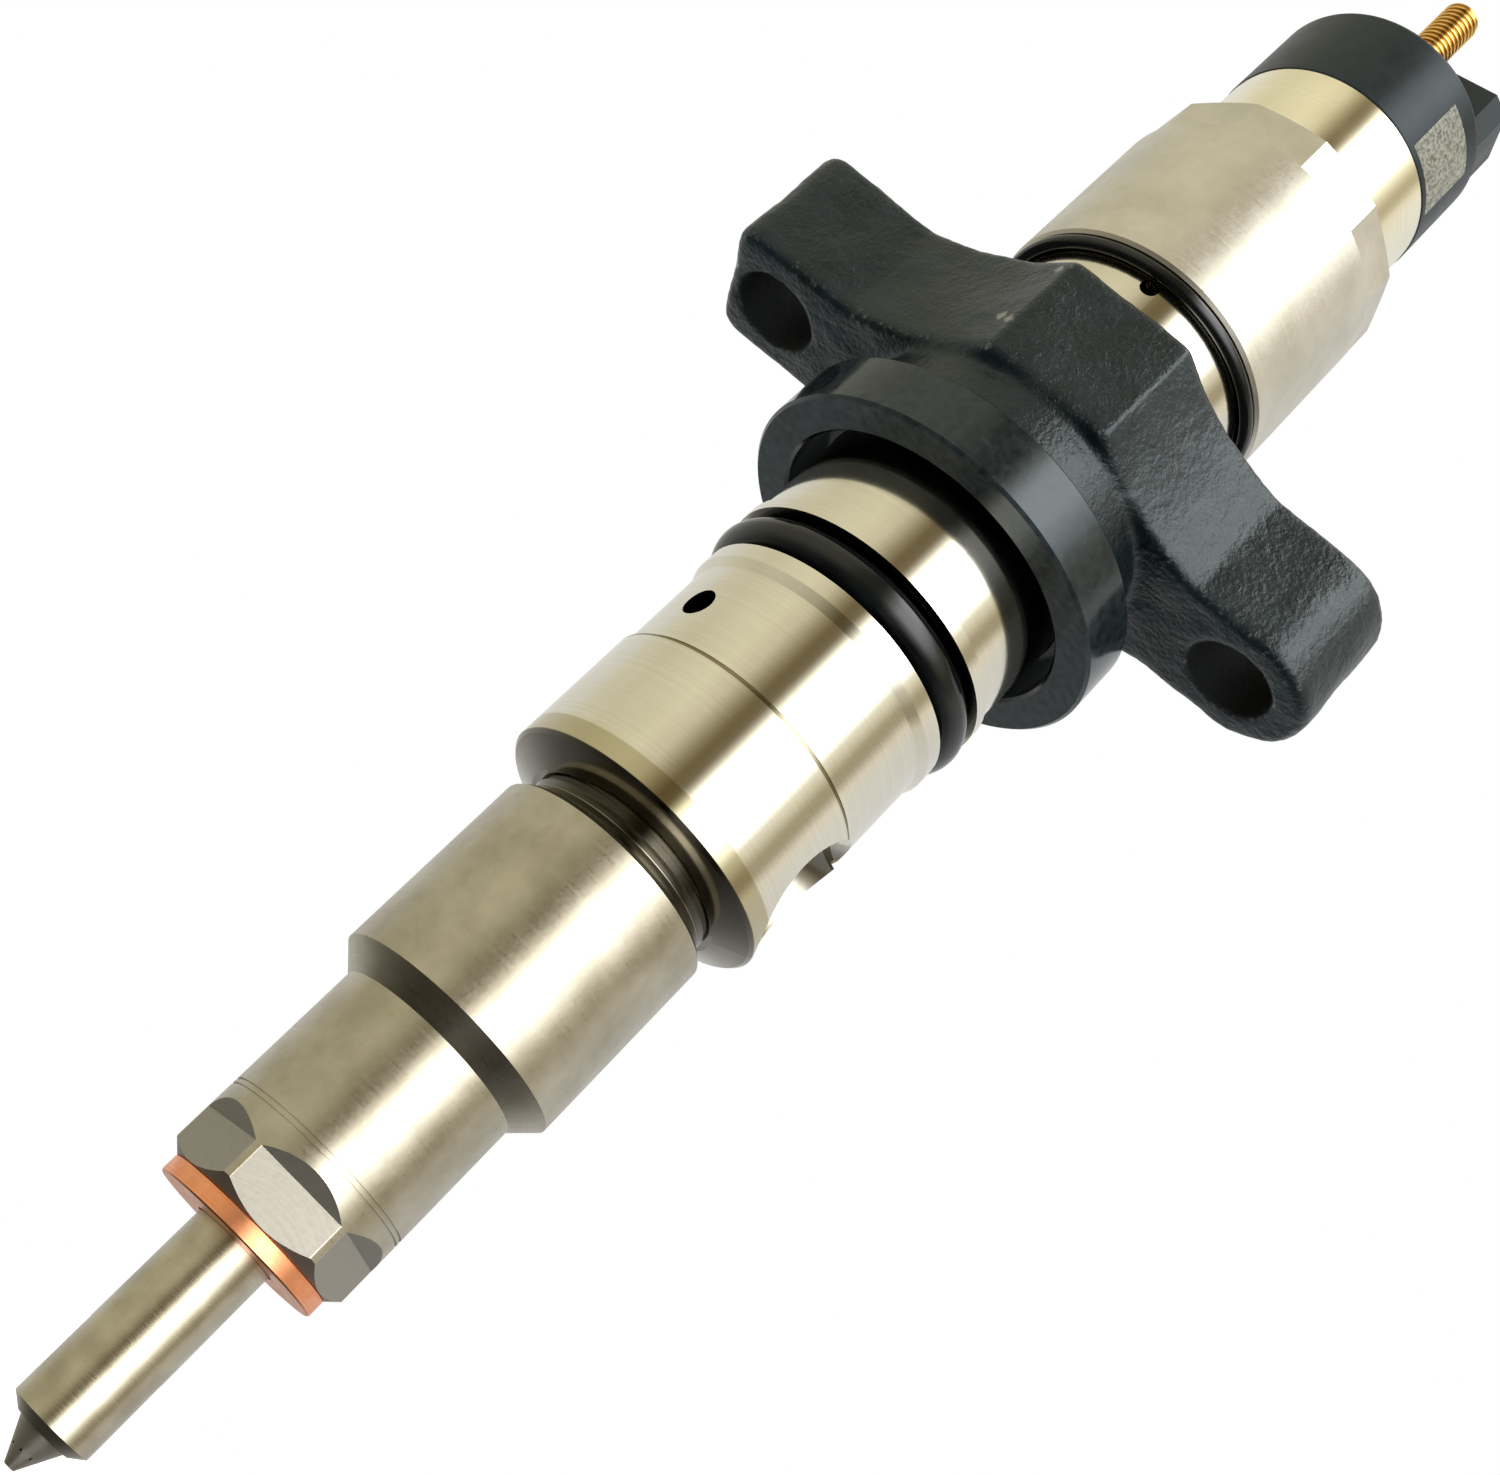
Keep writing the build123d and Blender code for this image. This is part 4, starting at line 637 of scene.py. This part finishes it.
# ---- Hold-down clamp ----
# A steel yoke, cast or drop forged, shot blasted, then blackened and oiled. Its skin is gritty like
# fine sand, its edges are soft and slightly wavy, and pale grains along the ridges are rubbed-through wear
# and also painted glints.
# The bore and the bolt holes are machined; the bolt holes are painted near black as painted shade inside
# them, and rougher.
CLAMP_GRAIN = 0.00042
CLAMP_SOFTEN = 6
CLAMP_SINK = 0.00005
CLAMP_WAVE = 0.0045
CLAMP_WAVE_DEPTH = 0.00018
CLAMP_GRIT = 0.0009
CLAMP_GRIT_DEPTH = 0.00006
BOLT_X = 0.0268
# Radius of the bolt holes: inside it the colour is painted near black as painted shade, and the skin is not
# roughened.
BOLT_BORE_R = 0.0046
MACHINED_R = 0.0152
# Blasted black oxide: black like wet sand, with pale grains along the ridges that are wear and painted
# glints. The 0.55 mm grit is about twice what the shot leaves, so that it shows.
clamp_black, tree, shader = material("shot_blasted_black_oxide", ior=1.6, specular_tint=linear("#dde8ea"))
spot = add(tree, "ShaderNodeTexCoord").outputs["Object"]
cloud = add(tree, "ShaderNodeTexNoise", {
    "Vector": spot, "Scale": 1 / 0.004, "Detail": 8.0, "Roughness": 0.65})
grit = add(tree, "ShaderNodeTexNoise", {
    "Vector": spot, "Scale": 1 / 0.00055, "Detail": 4.0, "Roughness": 0.6})
tone = add(tree, "ShaderNodeValToRGB", {"Fac": cloud.outputs["Fac"]},
           stops=[(0.34, "#040a0d"), (0.66, "#0a151a")])
edge = add(tree, "ShaderNodeNewGeometry")
# Pale grains on sharp ridges: rubbed-through wear and painted glints.
edge_score = add(tree, "ShaderNodeMath", {0: grit.outputs["Fac"], 1: 0.22, 2: edge.outputs["Pointiness"]},
          operation="MULTIPLY_ADD")
edge_mask = add(tree, "ShaderNodeMapRange", {
    "Value": edge_score.outputs[0], "From Min": 0.65, "From Max": 0.74, "To Max": 0.55})
shade = add(tree, "ShaderNodeMix", {
    0: edge_mask.outputs["Result"], 6: tone.outputs["Color"], 7: linear("#8f8c82")}, data_type="RGBA")
part = add(tree, "ShaderNodeSeparateXYZ", {"Vector": spot})
side = add(tree, "ShaderNodeMath", {0: part.outputs["X"]}, operation="ABSOLUTE")
inward = add(tree, "ShaderNodeMath", {0: side.outputs[0], 1: BOLT_X}, operation="SUBTRACT")
hole = add(tree, "ShaderNodeCombineXYZ", {"X": inward.outputs[0], "Y": part.outputs["Y"]})
from_hole = add(tree, "ShaderNodeVectorMath", {0: hole.outputs[0]}, operation="LENGTH")
# Near black and rougher inside the bolt holes: the darkness is painted shade.
bolt_bore_mask = add(tree, "ShaderNodeMapRange", {
    "Value": from_hole.outputs["Value"], "From Min": BOLT_BORE_R, "From Max": BOLT_BORE_R - 0.0003})
dark = add(tree, "ShaderNodeMix", {
    0: bolt_bore_mask.outputs["Result"], 6: shade.outputs[2], 7: linear("#040505")}, data_type="RGBA")
gloss = add(tree, "ShaderNodeMapRange", {
    "Value": cloud.outputs["Fac"], "From Min": 0.3, "From Max": 0.7, "To Min": 0.24, "To Max": 0.36})
dull = add(tree, "ShaderNodeMath", {0: bolt_bore_mask.outputs["Result"], 1: 0.5, 2: gloss.outputs["Result"]},
           operation="MULTIPLY_ADD")
relief = add(tree, "ShaderNodeBump", {"Height": grit.outputs["Fac"], "Strength": 0.9, "Distance": 0.00014})
tree.links.new(dark.outputs[2], shader.inputs["Base Color"])
tree.links.new(dull.outputs[0], shader.inputs["Roughness"])
tree.links.new(relief.outputs["Normal"], shader.inputs["Normal"])

# The CAD shape in fine grains, softened, then roughened everywhere but in its bores.
rough_clamp = bpy.data.objects.new("rough_clamp", bpy.data.meshes.new("rough_clamp"))
bm = merged_copy("hold_down_clamp")
bm.to_mesh(rough_clamp.data)
bm.free()
bpy.context.scene.collection.objects.link(rough_clamp)
grains = rough_clamp.modifiers.new("grains", "REMESH")
grains.mode = "VOXEL"
grains.voxel_size = CLAMP_GRAIN
softened = rough_clamp.modifiers.new("softened", "SMOOTH")
softened.iterations = CLAMP_SOFTEN
softened.factor = 0.5
bpy.context.view_layer.update()
shaped = bpy.data.meshes.new_from_object(rough_clamp.evaluated_get(bpy.context.evaluated_depsgraph_get()))
bpy.data.objects.remove(rough_clamp)
bm = bmesh.new()
bm.from_mesh(shaped)
bpy.data.meshes.remove(shaped)
bm.normal_update()
for vert in bm.verts:
    wave = noise.noise(vert.co / CLAMP_WAVE) * CLAMP_WAVE_DEPTH
    grit_height = noise.noise(vert.co / CLAMP_GRIT) * CLAMP_GRIT_DEPTH
    machined = math.hypot(vert.co.x, vert.co.y) < MACHINED_R
    bored = math.hypot(abs(vert.co.x) - BOLT_X, vert.co.y) < BOLT_BORE_R
    if not machined and not bored:
        vert.co += vert.normal * (wave + grit_height - CLAMP_SINK)
for face in bm.faces:
    face.smooth = True
cast_clamp = add_piece("blackened_cast_clamp", bm, clamp_black, "clamp")
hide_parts("hold_down_clamp")
